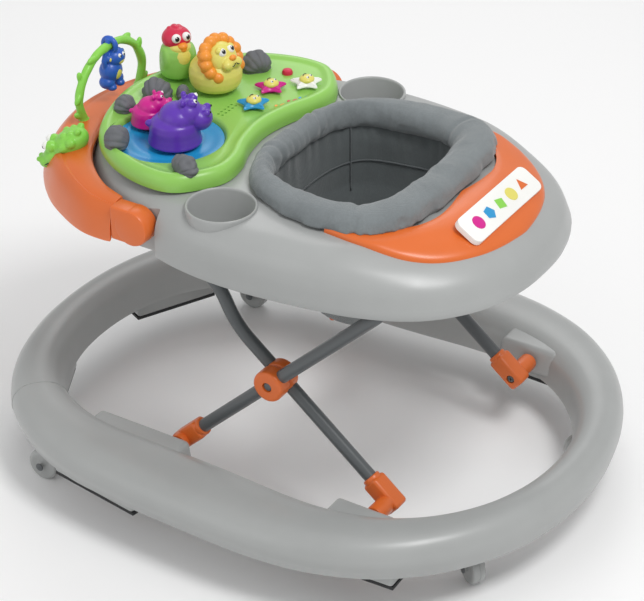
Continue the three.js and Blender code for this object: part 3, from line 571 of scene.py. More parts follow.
def wheel_shape():
    half = 8
    rim = [(0, -half - 4), (2.2, -half - 4), (2.8, -half - 3.4), (2.8, -half - 0.2), (4.6, -half + 0.8),
           (6, -half + 1.6), (12, -half + 1.1), (14, -half + 0.2), (17, -half), (18.6, -half + 0.5),
           (19.7, -half + 1.8), (20, -half + 3.5), (20, -1.2), (19.4, -0.8)]
    profile = rim + [(r, -h) for r, h in rim[::-1]]
    return shifted(turned(lathe(profile, 64), 90, "Y"), 0, TRAIL, WHEEL_R)


for name, x, y, heading in CASTERS:
    stand = Matrix.Translation((x, y, 0)) @ Matrix.Rotation(math.radians(heading), 4, "Z")
    fork = solid(f"fork_{name}", fork_shape())
    carve(fork, rod("x", -8.9, 8.9, TRAIL, WHEEL_R, 21.9, 0.1, 64),
          rod("x", -20, 20, TRAIL, WHEEL_R, 3.4, 0.1))
    stem = solid("stem", joined(rod("z", 49, 88, 0, 0, 4), rod("z", 49.6, 53, 0, 0, 9, 1)))
    merge(fork, stem)
    fork.data.transform(Matrix.Translation(stand.translation * MM) @ stand.to_3x3().to_4x4())
    finish(fork, GREY, f"swivel_{name}", f"caster_fork_{name}")
    piece(f"wheel_{name}", moved(wheel_shape(), stand), GREY, f"wheel_{name}",
          f"caster_wheel_{name}", slot="shell_grey")
    for end, letter in PAIR:
        cap = joined(rod("x", end * 12.1, end * 13.6, TRAIL, WHEEL_R, 5.2, 0.8),
                     rod("x", end * 8.2, end * 13.9, TRAIL, WHEEL_R, 2.2, 0.5))
        piece(f"axle_cap_{name}_{letter}", moved(cap, stand), STEEL, f"wheel_{name}")

# ---- folding frame ------------------------------------------------------------------------------


def u_path(x, leg):
    left = [(x, y, z) for y, z in leg]
    return rounded_path([*left, *[(-a, b, c) for a, b, c in reversed(left)]], 24)


def from_foot(foot, up, distance):
    length = math.dist(foot, up)
    return tuple(f + (u - f) * distance / length for f, u in zip(foot, up))


leg_a = [from_foot(FOOT_A, HUB, 9), *LEG_A[1:]]
leg_b = [from_foot(FOOT_B, HUB, 9), LEG_B[1]]
piece("inner_tube", tube(u_path(FRAME_A_X, leg_a), TUBE_R), STEEL, "inner_frame", "frame_inner_tube",
      slot="tube_grey")
piece("outer_tube", tube(u_path(FRAME_B_X, leg_b), TUBE_R), STEEL, "outer_frame", "frame_outer_tube",
      slot="tube_grey")


def along_leg(shape, x, foot, up):
    """Puts a shape made round +Z onto a leg, with +Z pointing up the tube."""
    angle = math.degrees(math.atan2(up[1] - foot[1], up[0] - foot[0])) - 90
    return shifted(turned(shape, angle, "X"), x, *foot)


def foot_piece(name, side, x, foot, body, node):
    shoe = along_leg(block(-11.5, 11.5, -11.5, 11.5, -13, 31, 4.5), side * x, foot, HUB)
    collar = along_leg(rod("z", 27, 35, 0, 0, 11, 2), side * x, foot, HUB)
    reach = rod("x", side * (x + 6), side * (BOSS_X - 0.8), *foot, 11, 1.5)
    pin = rod("x", side * (x + 10), side * (BOSS_X + 13), *foot, 4.8, 0.8)
    shoe_obj = solid(name, shoe)
    outer = side * (x - 11.5)
    carve(shoe_obj, rod("x", outer - side * 2, outer + side * 5, *foot, 5.4, 0.2))
    merge(shoe_obj, solid("rest", joined(collar, reach, pin)))
    finish(shoe_obj, ORANGE, body, node)
    screw(f"{name}_screw", "x", outer + side * 3.6, side, foot, 4.6, body)


def screw(name, axis, at, side, centre, radius, body):
    """Pan-head screw sunk in its hole, with a cross recess."""
    head = solid(name, rod(axis, at - side * 3, at + side * 1.4, *centre, radius, 1.2))
    cross = [block(at - side * 3, at + side * 0.4, centre[0] - a, centre[0] + a, centre[1] - b,
                   centre[1] + b, 0.1) for a, b in ((radius * 0.62, 0.55), (0.55, radius * 0.62))]
    carve(head, *cross)
    finish(head, STEEL, body)


for name, side in SIDES:
    foot_piece(f"foot_rear_{name}", side, FRAME_A_X, FOOT_A, "inner_frame", f"foot_socket_rear_{name}")
    foot_piece(f"foot_front_{name}", side, FRAME_B_X, FOOT_B, "outer_frame", f"foot_socket_front_{name}")
    for part, x, foot, body in (("inner", FRAME_A_X, FOOT_A, "inner_frame"),
                                ("outer", FRAME_B_X, FOOT_B, "outer_frame")):
        low, high = (x - 8.6, x + 8.6) if part == "inner" else (x - 8.6, x + 12.6)
        drum = rod("x", side * low, side * high, *HUB, 19.3, 3, 56)
        angle = math.degrees(math.atan2(foot[1] - HUB[1], foot[0] - HUB[0]))
        bulge = turned(block(side * low, side * high, HUB[0] - 10.5, HUB[0] + 10.5, HUB[1] - 17,
                             HUB[1] + 17, 4), angle, "X", (0, *HUB))
        clamp = solid(f"hub_{part}_{name}_shell", joined(drum, bulge))
        melt(clamp, 1.1, 4)
        if part == "outer":
            carve(clamp, rod("x", side * (high - 4), side * (high + 4), *HUB, 6.2, 0.2))
        finish(clamp, ORANGE, body, f"hub_{part}_{name}", 50)
    screw(f"hub_screw_{name}", "x", side * (FRAME_B_X + 9.6), side, HUB, 5.4, "outer_frame")

# ---- tray ---------------------------------------------------------------------------------------
tray_outline = mirrored(TRAY_HALF, 220)
tray_inward = inward(tray_outline)
seat_outline = mirrored(SEAT_HALF, 120)


def ease(value, low, high):
    t = min(1, max(0, (value - low) / (high - low)))
    return t * t * (3 - 2 * t)


def tray_inset(level, p):
    return level[0] + level[2] * ease(p.y, 110, 270)


fine_profile = [tuple(q) for q in smooth_curve(TRAY_PROFILE[1:], False, 44)]
fine_profile = [(5, 341, 0), (3.2, 341.2, 0), (1.2, 342.6, 0), (0.2, 345.5, 0), *fine_profile]


def tray_form(profile, shift=0, drop=0):
    rows = []
    for k, level in enumerate(profile):
        z = level[1] - (drop if k == 0 else shift)
        reach = [tray_inset(level, p) + shift for p in tray_outline]
        rows.append([(p.x + d.x * r, p.y + d.y * r, z) for p, d, r in zip(tray_outline, tray_inward, reach)])
    return grid(rows)


def pocket(side, grow=0):
    y0, y1 = POCKET_Y
    return block(side * (POCKET_X - grow), side * 262, y0 - grow, y1 + grow, 300, 450, 3)


tray = solid("tray_moulding", tray_form(fine_profile))
hollow = solid("hollow", tray_form(TRAY_PROFILE[::2] + TRAY_PROFILE[-1:], 3, 60))
for _, side in SIDES:
    carve(tray, pocket(side))
    carve(hollow, pocket(side, 3))
cut(tray, hollow)
hole = inset(seat_outline, SEAT_HOLE_INSET)
carve(tray, grid([at_height(hole, 300), at_height(hole, 450)]))
cx, cy, cr, depth, rim = CUP
for _, side in SIDES:
    carve(tray, rod("z", 300, 450, side * cx, cy, cr + 1, 0.1, 72),
          rod("x", side * (POCKET_X - 12), side * (POCKET_X + 3), *HINGE, 5.3, 0.1))
finish(tray, GREY, "tray", "tray_shell", 32)
for name, side in SIDES:
    floor_z = rim - depth
    well = [(0, floor_z - 3), (cr - 6, floor_z - 3), (cr - 4.5, floor_z - 2), (cr + 2.4, rim - 6),
            (cr + 2.8, rim - 1), (cr + 2.6, rim + 0.9), (cr + 1.8, rim + 1.6), (cr + 0.6, rim + 1.4),
            (cr - 0.2, rim + 0.4), (cr - 0.6, rim - 1.5), (cr - 7.4, floor_z + 7), (cr - 9, floor_z + 3),
            (cr - 12, floor_z + 0.8), (cr - 16, floor_z), (0, floor_z)]
    piece(f"cup_well_{name}", shifted(lathe(well, 96), side * cx, cy), GREY, "tray", angle=50,
          slot="shell_grey")


def tray_top(p, reach):
    """Height of the tray's surface at a distance in from a point of its widest edge."""
    for a, b in zip(TRAY_PROFILE[2:], TRAY_PROFILE[3:]):
        e0, e1 = tray_inset(a, p), tray_inset(b, p)
        if reach <= e1:
            return a[1] + (b[1] - a[1]) * (reach - e0) / (e1 - e0)
    return TRAY_PROFILE[-1][1]


def cover_rows(count=90, across=18):
    rear = [p for p in tray_outline if p.y > COVER_FRONT]
    path = smooth_curve(rear[::5] + [rear[-1]], False, count + 1)
    rows = []
    for i, p in enumerate(path):
        ahead = (path[min(i + 1, count)] - path[max(i - 1, 0)]).normalized()
        into = Vector((-ahead.y, ahead.x, 0))
        sideways = abs(2 * i / count - 1)
        start, span = 27 + 16 * sideways + 12 * sideways ** 6, 84 - 66 * sideways
        upper, lower = [], []
        for k in range(across + 1):
            t = k / across
            reach = start + span * t ** 1.6
            q = p + into * reach
            thick = 0.4 + 5.4 * (1 - (1 - min(1, t * 2.2)) ** 3) + 0.4 * t
            upper.append((q.x, q.y, tray_top(p, reach) + thick))
            lower.append((q.x, q.y, tray_top(p, reach) - 1.5))
        rows.append(upper + lower[::-1])
    return rows


cover = solid("cover_moulding", grid(cover_rows()))
modify(cover, "SMOOTH", factor=0.4, iterations=3)
finish(cover, ORANGE, "tray", "rear_cover", 40)


def on_plate(shape):
    """Moves a shape from the plate's own plane onto the sloping back of the cover."""
    return shifted(turned(shape, PLATE_TILT, "X"), *PLATE_SPOT)


def round_box(half_x, half_y, corner, steps=8):
    points = []
    for sx, sy, start in ((1, 1, 0), (-1, 1, 90), (-1, -1, 180), (1, -1, 270)):
        for k in range(steps + 1):
            a = math.radians(start + 90 * k / steps)
            points.append(Vector((sx * (half_x - corner) + corner * math.cos(a),
                                  sy * (half_y - corner) + corner * math.sin(a), 0)))
    return points


piece("name_plate_card", on_plate(prism(round_box(76, 18, 9), -7, 0, 0.8)), WHITE, "tray", "name_plate",
      slot="white_plastic")
BADGES = ((-50, ORANGE, 3), (-25, YELLOW, 40), (0, LEAF, 4), (25, WATER, 5), (50, MAGENTA, 40))
for k, (x, paint, corners) in enumerate(BADGES):
    badge = prism(oval(8.5, 8.5, corners, 0.5), -1, 0.7, 0.4)
    piece(f"plate_badge_{k + 1}", on_plate(shifted(badge, x)), paint, "tray")

# ---- seat ---------------------------------------------------------------------------------------


def inflate(obj, voxel, pressure, cap):
    """Swells a closed fabric form like a filled pad, and holds each point near its start."""
    modify(obj, "REMESH", mode="VOXEL", voxel_size=voxel * MM)
    rest = np.empty(len(obj.data.vertices) * 3)
    obj.data.vertices.foreach_get("co", rest)
    scene = bpy.context.scene
    cloth = obj.modifiers.new("Cloth", "CLOTH")
    cloth.settings.quality = 5
    cloth.settings.use_pressure = True
    cloth.settings.uniform_pressure_force = pressure
    cloth.settings.effector_weights.gravity = 0
    cloth.settings.tension_stiffness = 12
    cloth.settings.compression_stiffness = 12
    cloth.settings.shear_stiffness = 6
    cloth.settings.bending_stiffness = 0.4
    cloth.collision_settings.use_collision = False
    for number in range(1, 21):
        scene.frame_set(number)
    done = obj.evaluated_get(bpy.context.evaluated_depsgraph_get())
    swollen = np.empty(len(rest))
    done.data.vertices.foreach_get("co", swollen)
    obj.modifiers.clear()
    scene.frame_set(1)
    move = (swollen - rest).reshape(-1, 3)
    length = np.maximum(np.linalg.norm(move, axis=1, keepdims=True), 1e-9)
    move *= np.minimum(1, cap * MM / length)
    obj.data.vertices.foreach_set("co", (rest.reshape(-1, 3) + move).ravel())
    obj.data.update()


def reshape(obj, rule):
    """Moves every point of a mesh by a rule that takes and returns millimetres."""
    count = len(obj.data.vertices) * 3
    co, no = np.empty(count), np.empty(count)
    obj.data.vertices.foreach_get("co", co)
    obj.data.vertices.foreach_get("normal", no)
    points, normals = co.reshape(-1, 3) / MM, no.reshape(-1, 3)
    new = np.array([rule(Vector(p), Vector(n)) for p, n in zip(points, normals)])
    obj.data.vertices.foreach_set("co", (new * MM).ravel())
    obj.data.update()


def seat_angle(p):
    return math.degrees(math.atan2(p[0] - SEAT_CENTRE[0], p[1] - SEAT_CENTRE[1]))


def roll_width(y):
    """The padded rim is slim in front, broad beside the child and broadest behind."""
    if y < 60:
        return 30 + 20 * ease(y, -45, 60)
    return 50 + 12 * ease(y, 60, 190)


def roll_rows(around, shrink=0.0):
    section = [(0, 417), (0.05, 424), (0.22, 431.5), (0.42, 434.5), (0.62, 433), (0.84, 427), (0.97, 418),
               (1, 407), (0.9, 398), (0.7, 396.5), (0.6, 404), (0.46, 411.4), (0.08, 411.4)]
    middle = 416
    ring = smooth_curve(section, True, 40)
    outline = mirrored(SEAT_HALF, around)
    rows = []
    for p, d in zip(outline, inward(outline)):
        width = roll_width(p.y)
        rows.append([])
        for q in ring:
            reach = (q.x + (0.5 - q.x) * shrink) * width
            rows[-1].append((p.x + d.x * reach, p.y + d.y * reach, q.y + (middle - q.y) * shrink))
    return rows


ROLL_SEAMS = (66, -66, 156, -156)


def roll_folds(p, n):
    """Sewn joints pinch the roll, the elastic puckers its inner edge, and loose cloth creases."""
    angle = seat_angle(p)
    out = Vector((p.x, p.y, 0)) - Vector((*SEAT_CENTRE, 0))
    run = out.length
    pinch = 0
    for seam in ROLL_SEAMS:
        off = math.radians((angle - seam + 180) % 360 - 180) * run
        pinch += 1.7 * math.exp(-(off / 2.6) ** 2) - 0.7 * math.exp(-((abs(off) - 8) / 4) ** 2)
    inner = ease(SEAT_REST + 4 - p.z, 0, 16) + ease(-n.dot(out.normalized()), 0.2, 0.9)
    pucker = 0.55 * math.sin(math.radians(angle) * 46 + 2.4 * noise.noise(Vector((angle * 0.11, 0, 0))))
    crease = noise.noise(Vector((angle * 0.075, p.z * 0.02, run * 0.02))) * 2.2
    ripple = noise.noise(Vector((angle * 0.28, p.z * 0.05, 3))) * 0.5
    drop = -pinch + pucker * min(1, inner) * 0.8 + crease + ripple
    if p.z < SEAT_REST + 1.5:
        drop = min(drop, 0.2)
    q = p + n * drop
    if q.z < SEAT_REST <= p.z:
        q.z = SEAT_REST
    return q


roll = solid("seat_roll", grid(roll_rows(120, 0.12), True, True))
inflate(roll, 5, 4, 5)
modify(roll, "SUBSURF", levels=1, render_levels=1)
reshape(roll, roll_folds)
modify(roll, "SUBSURF", levels=1, render_levels=1)
finish(roll, FABRIC, "tray", "seat_rim", 0)


seat_inward = inward(seat_outline)
seat_mouth = [p + d * (roll_width(p.y) * 0.83 - 1) for p, d in zip(seat_outline, seat_inward)]
BAG_LEVELS = [(0.0, -0.02, 404), (0.2, 0.0, 368), (0.42, 0.03, 326), (0.66, 0.17, 274), (0.8, 0.4, 242),
              (0.9, 0.72, 231), (1.0, 1.0, 228.5)]


def bag_point(turn, t):
    """A point on the hanging bucket: turn runs 0 to 1 round its mouth, t from mouth to floor."""
    n = len(seat_mouth)
    s = (turn % 1) * n
    p = seat_mouth[int(s) % n].lerp(seat_mouth[(int(s) + 1) % n], s % 1)
    for (t0, d0, z0), (t1, d1, z1) in zip(BAG_LEVELS, BAG_LEVELS[1:]):
        if t <= t1:
            k = (t - t0) / (t1 - t0)
            draw, z = d0 + (d1 - d0) * k, z0 + (z1 - z0) * k
            break
    arm = Vector((0, BAG_Y, 0)) - p
    wander = noise.noise(Vector((turn * 22, 0, 0)))
    gather = (1 - ease(t, 0, 0.3)) * 1.1 * math.sin(turn * 2 * math.pi * 42 + 4 * wander)
    slack = 4.0 * noise.noise(Vector((turn * 9, t * 3.2, 8))) * (1 - t) * ease(t, 0, 0.15)
    q = p + arm * draw + arm.normalized() * (gather + slack) * (1 - ease(draw, 0.7, 1))
    return Vector((q.x, q.y, z))


def toward_axis(p, distance):
    """Moves a point of the bucket toward its upright middle line."""
    return p + (Vector((0, BAG_Y, p.z)) - p).normalized() * distance


def in_leg_hole(p):
    for _, side in SIDES:
        x, y, z = LEG_HOLE
        local = Matrix.Rotation(math.radians(LEG_HOLE_TILT), 4, "X") @ (p - Vector((side * x, y, z)))
        if local.y < 0 and math.hypot(local.x, local.z) < LEG_HOLE_R - local.y * 0.035:
            return True
    return False


def smooth_edges(bm, below, rounds=10):
    """Evens out the open edges that lie below a height in metres."""
    for _ in range(rounds):
        for v in [v for v in bm.verts if v.is_boundary and v.co.z < below]:
            near = [e.other_vert(v).co for e in v.link_edges if e.is_boundary]
            v.co = v.co.lerp(sum(near, Vector()) / len(near), 0.5)


def open_loops(bm, below):
    """Closed lines of open edges below a height in metres, in millimetres, the right one first."""
    loops = []
    left = [e for e in bm.edges if e.is_boundary and max(v.co.z for v in e.verts) < below]
    while left:
        loop = list(left.pop().verts)
        step = True
        while step:
            step = next((f for f in loop[-1].link_edges if f in left), None)
            if step:
                left.remove(step)
                loop.append(step.other_vert(loop[-1]))
        if len(loop) > 20:
            loops.append([v.co / MM for v in loop[:-1]])
    return sorted(loops, key=lambda loop: loop[0].x)


def make_bag():
    """The hanging bucket, with its leg holes and a bound hem round each."""
    around, down = 192, 64
    rows = [[bag_point(i / around, 0.97 * (k / down)) for i in range(around)] for k in range(down + 1)]
    verts, faces = grid(rows, caps=False)
    faces.append(tuple(range(down * around, (down + 1) * around)))
    bag = solid("seat_bag", (verts, faces))
    bm = bmesh.new()
    bm.from_mesh(bag.data)
    doomed = [face for face in bm.faces if in_leg_hole(face.calc_center_median() / MM)]
    bmesh.ops.delete(bm, geom=doomed, context="FACES")
    bmesh.ops.delete(bm, geom=[v for v in bm.verts if not v.link_faces], context="VERTS")
    mouth = 390 * MM
    smooth_edges(bm, mouth)
    hems = open_loops(bm, mouth)
    bm.to_mesh(bag.data)
    bm.free()
    modify(bag, "SOLIDIFY", thickness=2.4 * MM, offset=1, use_even_offset=False)
    modify(bag, "SUBSURF", levels=1, render_levels=1)
    finish(bag, LINING, "tray", "seat_bucket", 60)
    for k, hem in enumerate(hems):
        binding(f"leg_hem_{k + 1}", hem_rows(spaced(hem, True, 90), 2.6))


def hem_rows(path, radius, turns=12):
    """Round binding along a closed loop of points."""
    rows = []
    for i, q in enumerate(path):
        ahead = (path[(i + 1) % len(path)] - path[i - 1]).normalized()
        out = (q - Vector((*SEAT_CENTRE, q.z))).normalized()
        normal = (out - ahead * out.dot(ahead)).normalized()
        swell = radius * (1 + 0.08 * math.sin(i * 1.9))
        rows.append(circle(q, normal, ahead.cross(normal), swell, turns))
    return rows


def thread(name, shape):
    piece(name, shape, THREAD, "tray", angle=0, slot="seat_fabric")


def binding(name, rows):
    thread(name, grid(rows, True, True))


make_bag()
for name, turn in (("front_left", 0.115), ("front_right", 0.885), ("rear_left", 0.4), ("rear_right", 0.6)):
    path = [toward_axis(bag_point(turn, 0.02 + 0.6 * k / 39), 1.4) for k in range(40)]
    if "front" in name:
        path = [p for p in path if p.z > LEG_HOLE[2]]
    thread(f"bag_seam_{name}", tube(path, 1.0, 8))
belt = [toward_axis(bag_point(k / 160, 0.3 + 0.05 * math.sin(2 * math.pi * k / 160)), 1.2)
        for k in range(160)]
binding("bag_seam_belt", hem_rows(belt, 1.0, 8))

# ---- toy panel ----------------------------------------------------------------------------------
panel_outline = mirrored(PANEL_HALF, 180)
PANEL_RIM = [(0, 411.4), (-0.3, 415), (0, 419), (0.7, 422.6), (2.2, 426), (4.4, 428.9), (7.2, 430.7),
             (10.5, 431.2), (13.4, 430.4), (16, 428.9), (19, 427.8), (24, 427.4)]
HIPPO_BORE, SPINNER_BORE, STAR_BORE, GRILLE_BORE = 12.2, 9.2, 7.2, 1.7
STARS = (("blue", -29, -106, WATER), ("magenta", -76, -112, MAGENTA), ("white", -108, -82, WHITE))
GRILLE = [(-6 + 7 * (k % 5 - 2), -128 + 6 * (k // 5 - 0.5)) for k in range(10)]
px, py, pr, pond_z = POND
BASIN = [(0, 0), (pr - 2, 0), (pr - 0.5, 0.8), (pr, 2.2), (pr + 0.6, 5), (pr + 2.6, 7.4), (pr + 5, 8.5),
         (pr + 6, 14), (0, 14)]
PANEL_FACE, WATER_Z = 427, 420.9


def bore(x, y, radius, low=400, turns=40):
    return rod("z", low, 460, x, y, radius, 0.1, turns)


def make_panel():
    panel = solid("panel_moulding", grid([at_height(inset(panel_outline, e), z) for e, z in PANEL_RIM]))
    underside = inset(panel_outline, 4)
    carve(panel, shifted(lathe([(r, pond_z + h) for r, h in BASIN], 96), px, py),
          *[bore(*spot, SPINNER_BORE) for spot in (LION, FROG)],
          *[bore(*spot, HIPPO_BORE) for spot in (HIPPO_BIG, HIPPO_SMALL)],
          *[bore(x, y, STAR_BORE) for _, x, y, _ in STARS],
          *[bore(*spot, GRILLE_BORE, 424, 16) for spot in GRILLE],
          grid([at_height(underside, 405), at_height(underside, 416)]))
    finish(panel, GREEN, "tray", "panel_top", 36)


def ripple_disc(rings=40, turns=96):
    """Pond water: round ripples with a slow wave round them, over a flat base."""
    rows = []
    for k in range(rings, 0, -1):
        r = (pr - 0.9) * k / rings
        z = 0.4 * math.sin(r * 0.34) + WATER_Z
        rows.append([Vector((px + p.x, py + p.y, z + 0.3 * math.sin(3 * a + r * 0.1)))
                     for p, a in zip(oval(r, r, turns), angles(turns))])
    base = at_height(rows[0], pond_z + 0.4)
    return grid([base, *rows])


make_panel()
water = solid("pond_water", ripple_disc())
carve(water, *[bore(*spot, HIPPO_BORE, 410) for spot in (HIPPO_BIG, HIPPO_SMALL)])
finish(water, WATER, "tray", "pond_disc", 60)

for k, (x, y, paint) in enumerate(((-50, -78, MANE), (-68, -72, RED), (-82, -65, WATER))):
    note = oval(4.6, 3.4, 24)
    dot = joined(shifted(prism(note, -0.6, 0.5, 0.4), x, y, PANEL_FACE + 0.6),
                 shifted(prism([q * 0.5 for q in note], -0.6, 0.5, 0.3), x + 5, y - 6.5, PANEL_FACE + 0.6))
    piece(f"panel_mark_{k + 1}", dot, paint, "tray")
knob = lathe([(0, 0), (6.5, 0), (6.6, 3), (5.4, 5.4), (2.8, 6.6), (0, 6.9)], 32)
piece("panel_knob_red", shifted(knob, -124, -119, PANEL_FACE), RED, "tray")

# ---- toys ---------------------------------------------------------------------------------------
STEM_FOOT = 419.5


def toy(name, parts, material, body, replaces=(), voxel=1.0, rounds=5):
    obj = solid(name, joined(*parts))
    melt(obj, voxel, rounds)
    return finish(obj, material, body, replaces, 0)


def placed(x, y, z=0, heading=0):
    """The frame of a toy that stands at a place and is turned about its upright axis."""
    return Matrix.Translation((x, y, z)) @ Matrix.Rotation(math.radians(heading), 4, "Z")


def balls(place, *sizes):
    """Balls in a toy's own frame; one whose x isn't 0 is made on the left and the right."""
    shapes = []
    for x, *rest in sizes:
        shapes += [moved(ball(e * x, *rest), place) for e in ((-1, 1) if x else (1,))]
    return shapes


def bead(name, spot, radius, paint, body, turns):
    piece(name, ball(*spot, radius, radius, radius, turns), paint, body)


def add_eye(name, place, spot, radius, look, body):
    """Round white eye with a dark pupil that looks along a direction, and a glint."""
    spot = place @ Vector(spot)
    look = (place.to_3x3() @ Vector(look)).normalized()
    bead(f"{name}_white", spot, radius, WHITE, body, 24)
    pupil = spot + look * radius * 0.5
    piece(f"{name}_pupil", ball(*pupil, radius * 0.62, radius * 0.62, radius * 0.66, 20), BLACK, body)
    glint = spot + (look + Vector((0.25, -0.1, 0.5))).normalized() * radius * 1.02
    bead(f"{name}_glint", glint, radius * 0.16, WHITE, body, 12)


def snout_line(place, width, back, reach, z):
    """A mouth that runs round the front of a snout, as half an oval."""
    return [place @ Vector((width * math.sin(a), back - reach * math.cos(a), z))
            for a in (math.radians(k * 6 - 90) for k in range(31))]


HIPPO_BARREL = ((0, 0), (0.9, 0), (0.92, 0.05), (0.89, 0.14), (0.85, 0.36), (0.84, 0.56), (0.79, 0.76),
                (0.62, 0.92), (0.34, 0.99), (0, 1))
HIPPO_LUMPS = ((0, -0.44, 1.04, 0.55, 0.52, 0.5), (0, -0.84, 0.86, 0.5, 0.44, 0.42),
               (0, -0.12, 0.9, 0.68, 0.66, 0.5), (0.23, -1.08, 1.14, 0.14, 0.14, 0.14),
               (0.33, -0.3, 1.54, 0.12, 0.1, 0.13), (0.22, -0.6, 1.5, 0.17, 0.19, 0.15),
               (0, 0.82, 0.66, 0.13, 0.17, 0.13))


def make_hippo(name, spot, s, paint):
    """Sitting hippo; s is its body's height, and all its sizes are shares of it."""
    ground = 425.6
    place = placed(*spot, ground, 212)
    parts = [moved(lathe([(s * r, s * z) for r, z in HIPPO_BARREL], 64), place)]
    parts += balls(place, *[[s * v for v in lump] for lump in HIPPO_LUMPS])
    parts.append(rod("z", STEM_FOOT + 0.1, ground + 2, *spot, 10.6, 0.5))
    toy(f"{name}_skin", parts, paint, name, name, s / 34, 9)
    for e, side in PAIR:
        add_eye(f"{name}_eye_{side}", place, (e * s * 0.24, -s * 0.7, s * 1.56), s * 0.085,
                (e * 0.5, -0.7, 0.5), name)
        nostril = place @ Vector((e * s * 0.24, -s * 1.2, s * 1.18))
        bead(f"{name}_nostril_{side}", nostril, s * 0.045, BLACK, name, 12)
    mouth = snout_line(place, s * 0.44, -s * 0.84, s * 0.42, s * 0.84)
    piece(f"{name}_mouth", tube(mouth, s * 0.018, 8), BLACK, name, angle=0)


EGG = [(0, 432.6), (24, 432.6), (27.4, 434.4), (30.4, 439), (32, 446), (32, 454), (30, 461), (25.6, 467),
       (18, 471), (0, 473)]


def make_lion():
    toy("lion_body", [shifted(lathe(EGG, 72), *LION), rod("z", STEM_FOOT, 434, *LION, 8.6, 0.5)], YELLOW,
        "lion", "spinner_lion", 1.1, 4)
    head = (placed(*LION, 0, LION_TURN) @ Matrix.Translation((0, 9, 470))
            @ Matrix.Rotation(math.radians(30), 4, "X") @ Matrix.Scale(1.14, 4))
    tufts = [ball(0, -3, 0, 22, 9, 21)]
    for k, a in enumerate(angles(15)):
        tufts.append(ball(22 * math.cos(a), 0.5 + 1.6 * (k % 2), 21.5 * math.sin(a), 6.8, 7, 6.8))
        tufts.append(ball(19.5 * math.cos(a + 0.2), -5, 19 * math.sin(a + 0.2), 6.6, 6, 6.6))
    toy("lion_mane", [moved(tuft, head) for tuft in tufts], MANE, "lion", (), 0.8, 3)
    face = balls(head, (0, 3.5, 1, 17.5, 12, 17.5), (0, 12, -6, 10.5, 7.5, 7.5),
                 (6.2, 14.6, -8, 6.6, 5.4, 5.6), (7.5, 12, 9, 5, 3.5, 4))
    toy("lion_face", face, YELLOW, "lion", (), 0.8, 3)
    piece("lion_nose", *balls(head, (0, 19, -2.4, 4.4, 3.2, 3.2, 24)), MANE, "lion")
    for e, side in PAIR:
        add_eye(f"lion_eye_{side}", head, (e * 6, 12.6, 6.4), 5.4, (e * 0.1, 1, 0.1), "lion")
        grin = [head @ Vector((e * (0.6 + 6.4 * t), 20.4 - 3 * t * t, -8.5 - 2.2 * math.sin(t * 2.8)))
                for t in (k / 8 for k in range(9))]
        piece(f"lion_smile_{side}", tube(grin, 0.55, 10), BLACK, "lion", angle=0)


HUMP = [(0, 432.6), (18.5, 432.6), (20.6, 434.4), (21.8, 440), (22, 450), (21.4, 460), (19.4, 468),
        (15, 474), (0, 477)]


def make_bird():
    """The green and red bird, which keeps the frame's name for it, frog."""
    bird = placed(*FROG, 0, -30)
    toy("frog_body", [shifted(lathe(HUMP, 60), *FROG), rod("z", STEM_FOOT, 434, *FROG, 8.6, 0.5),
                      *balls(bird, (17, 2, 455, 5, 12, 16))], GREEN, "frog", "spinner_frog", 1.0, 4)
    toy("frog_belly", balls(bird, (0, 7, 458, 15, 15.4, 19), (0, 7, 471, 14, 13, 8)), YELLOW, "frog", (),
        0.8, 3)
    toy("frog_cap", balls(bird, (0, -1.5, 479, 18, 17.4, 14.5), (0, -15, 470, 8, 5, 12),
                          (0, -4, 491, 5, 8, 4), (6, -6, 489, 4, 6, 4)), RED, "frog", (), 0.8, 3)
    toy("frog_beak", balls(bird, (0, 15.5, 475, 6.4, 6.4, 4.6), (0, 17, 471.5, 4.6, 4.4, 3.6)), MANE,
        "frog", (), 0.7, 3)
    for e, side in PAIR:
        add_eye(f"frog_eye_{side}", bird, (e * 6.4, 12.4, 484.6), 5.6, (e * 0.15, 0.9, 0.2), "frog")


def star_outline(outer, inner, steps=6):
    corners = [((outer, inner)[k % 2] * math.cos(a), (outer, inner)[k % 2] * math.sin(a))
               for k, a in enumerate(angles(10))]
    return smooth_curve(corners, True, 10 * steps)


STAR_RIM = ((0, 431.1), (0, 432.2), (0.6, 433), (2, 434.2))
STAR_CROWN = ((0.7, 435.6), (0.4, 437), (0.1, 437.4))


def make_star(name, x, y, paint):
    flat = star_outline(20, 12)
    body = f"star_{name}"
    rows = [at_height(inset(flat, e), z) for e, z in STAR_RIM]
    rows += [at_height([p * share for p in flat], z) for share, z in STAR_CROWN]
    shape = joined(shifted(grid(rows), x, y, 0.5), rod("z", 418, 431, x, y, 6.6, 0.5))
    piece(f"{body}_skin", shape, paint, body, f"star_button_{name}", 50, f"{name}_plastic")
    piece(f"{body}_face", ball(x + 1, y + 1.5, 437.6, 9.4, 9, 4.8, 32), YELLOW, body)
    for e, side in PAIR:
        add_eye(f"{body}_eye_{side}", placed(x, y), (1 + e * 3.2, 4.6, 441.2), 1.9, (0, 0.7, 0.7), body)
    grin = [Vector((x + 1 + t * 3.4, y - 1.6 - 1.6 * (1 - t * t), 442.3 + 0.1 * (1 - t * t)))
            for t in (k / 5 - 1 for k in range(11))]
    piece(f"{body}_smile", tube(grin, 0.45, 8), BLACK, body, angle=0)
    bumps = [ball(x + 15 * math.cos(a), y + 15 * math.sin(a), 434.8, 1.6, 1.6, 1.1, 14) for a in angles(5)]
    piece(f"{body}_bumps", joined(*bumps), paint, body, angle=0)


make_hippo("hippo_big", HIPPO_BIG, 34.5, PURPLE)
make_hippo("hippo_small", HIPPO_SMALL, 23, MAGENTA)
make_lion()
make_bird()
for star in STARS:
    make_star(*star)

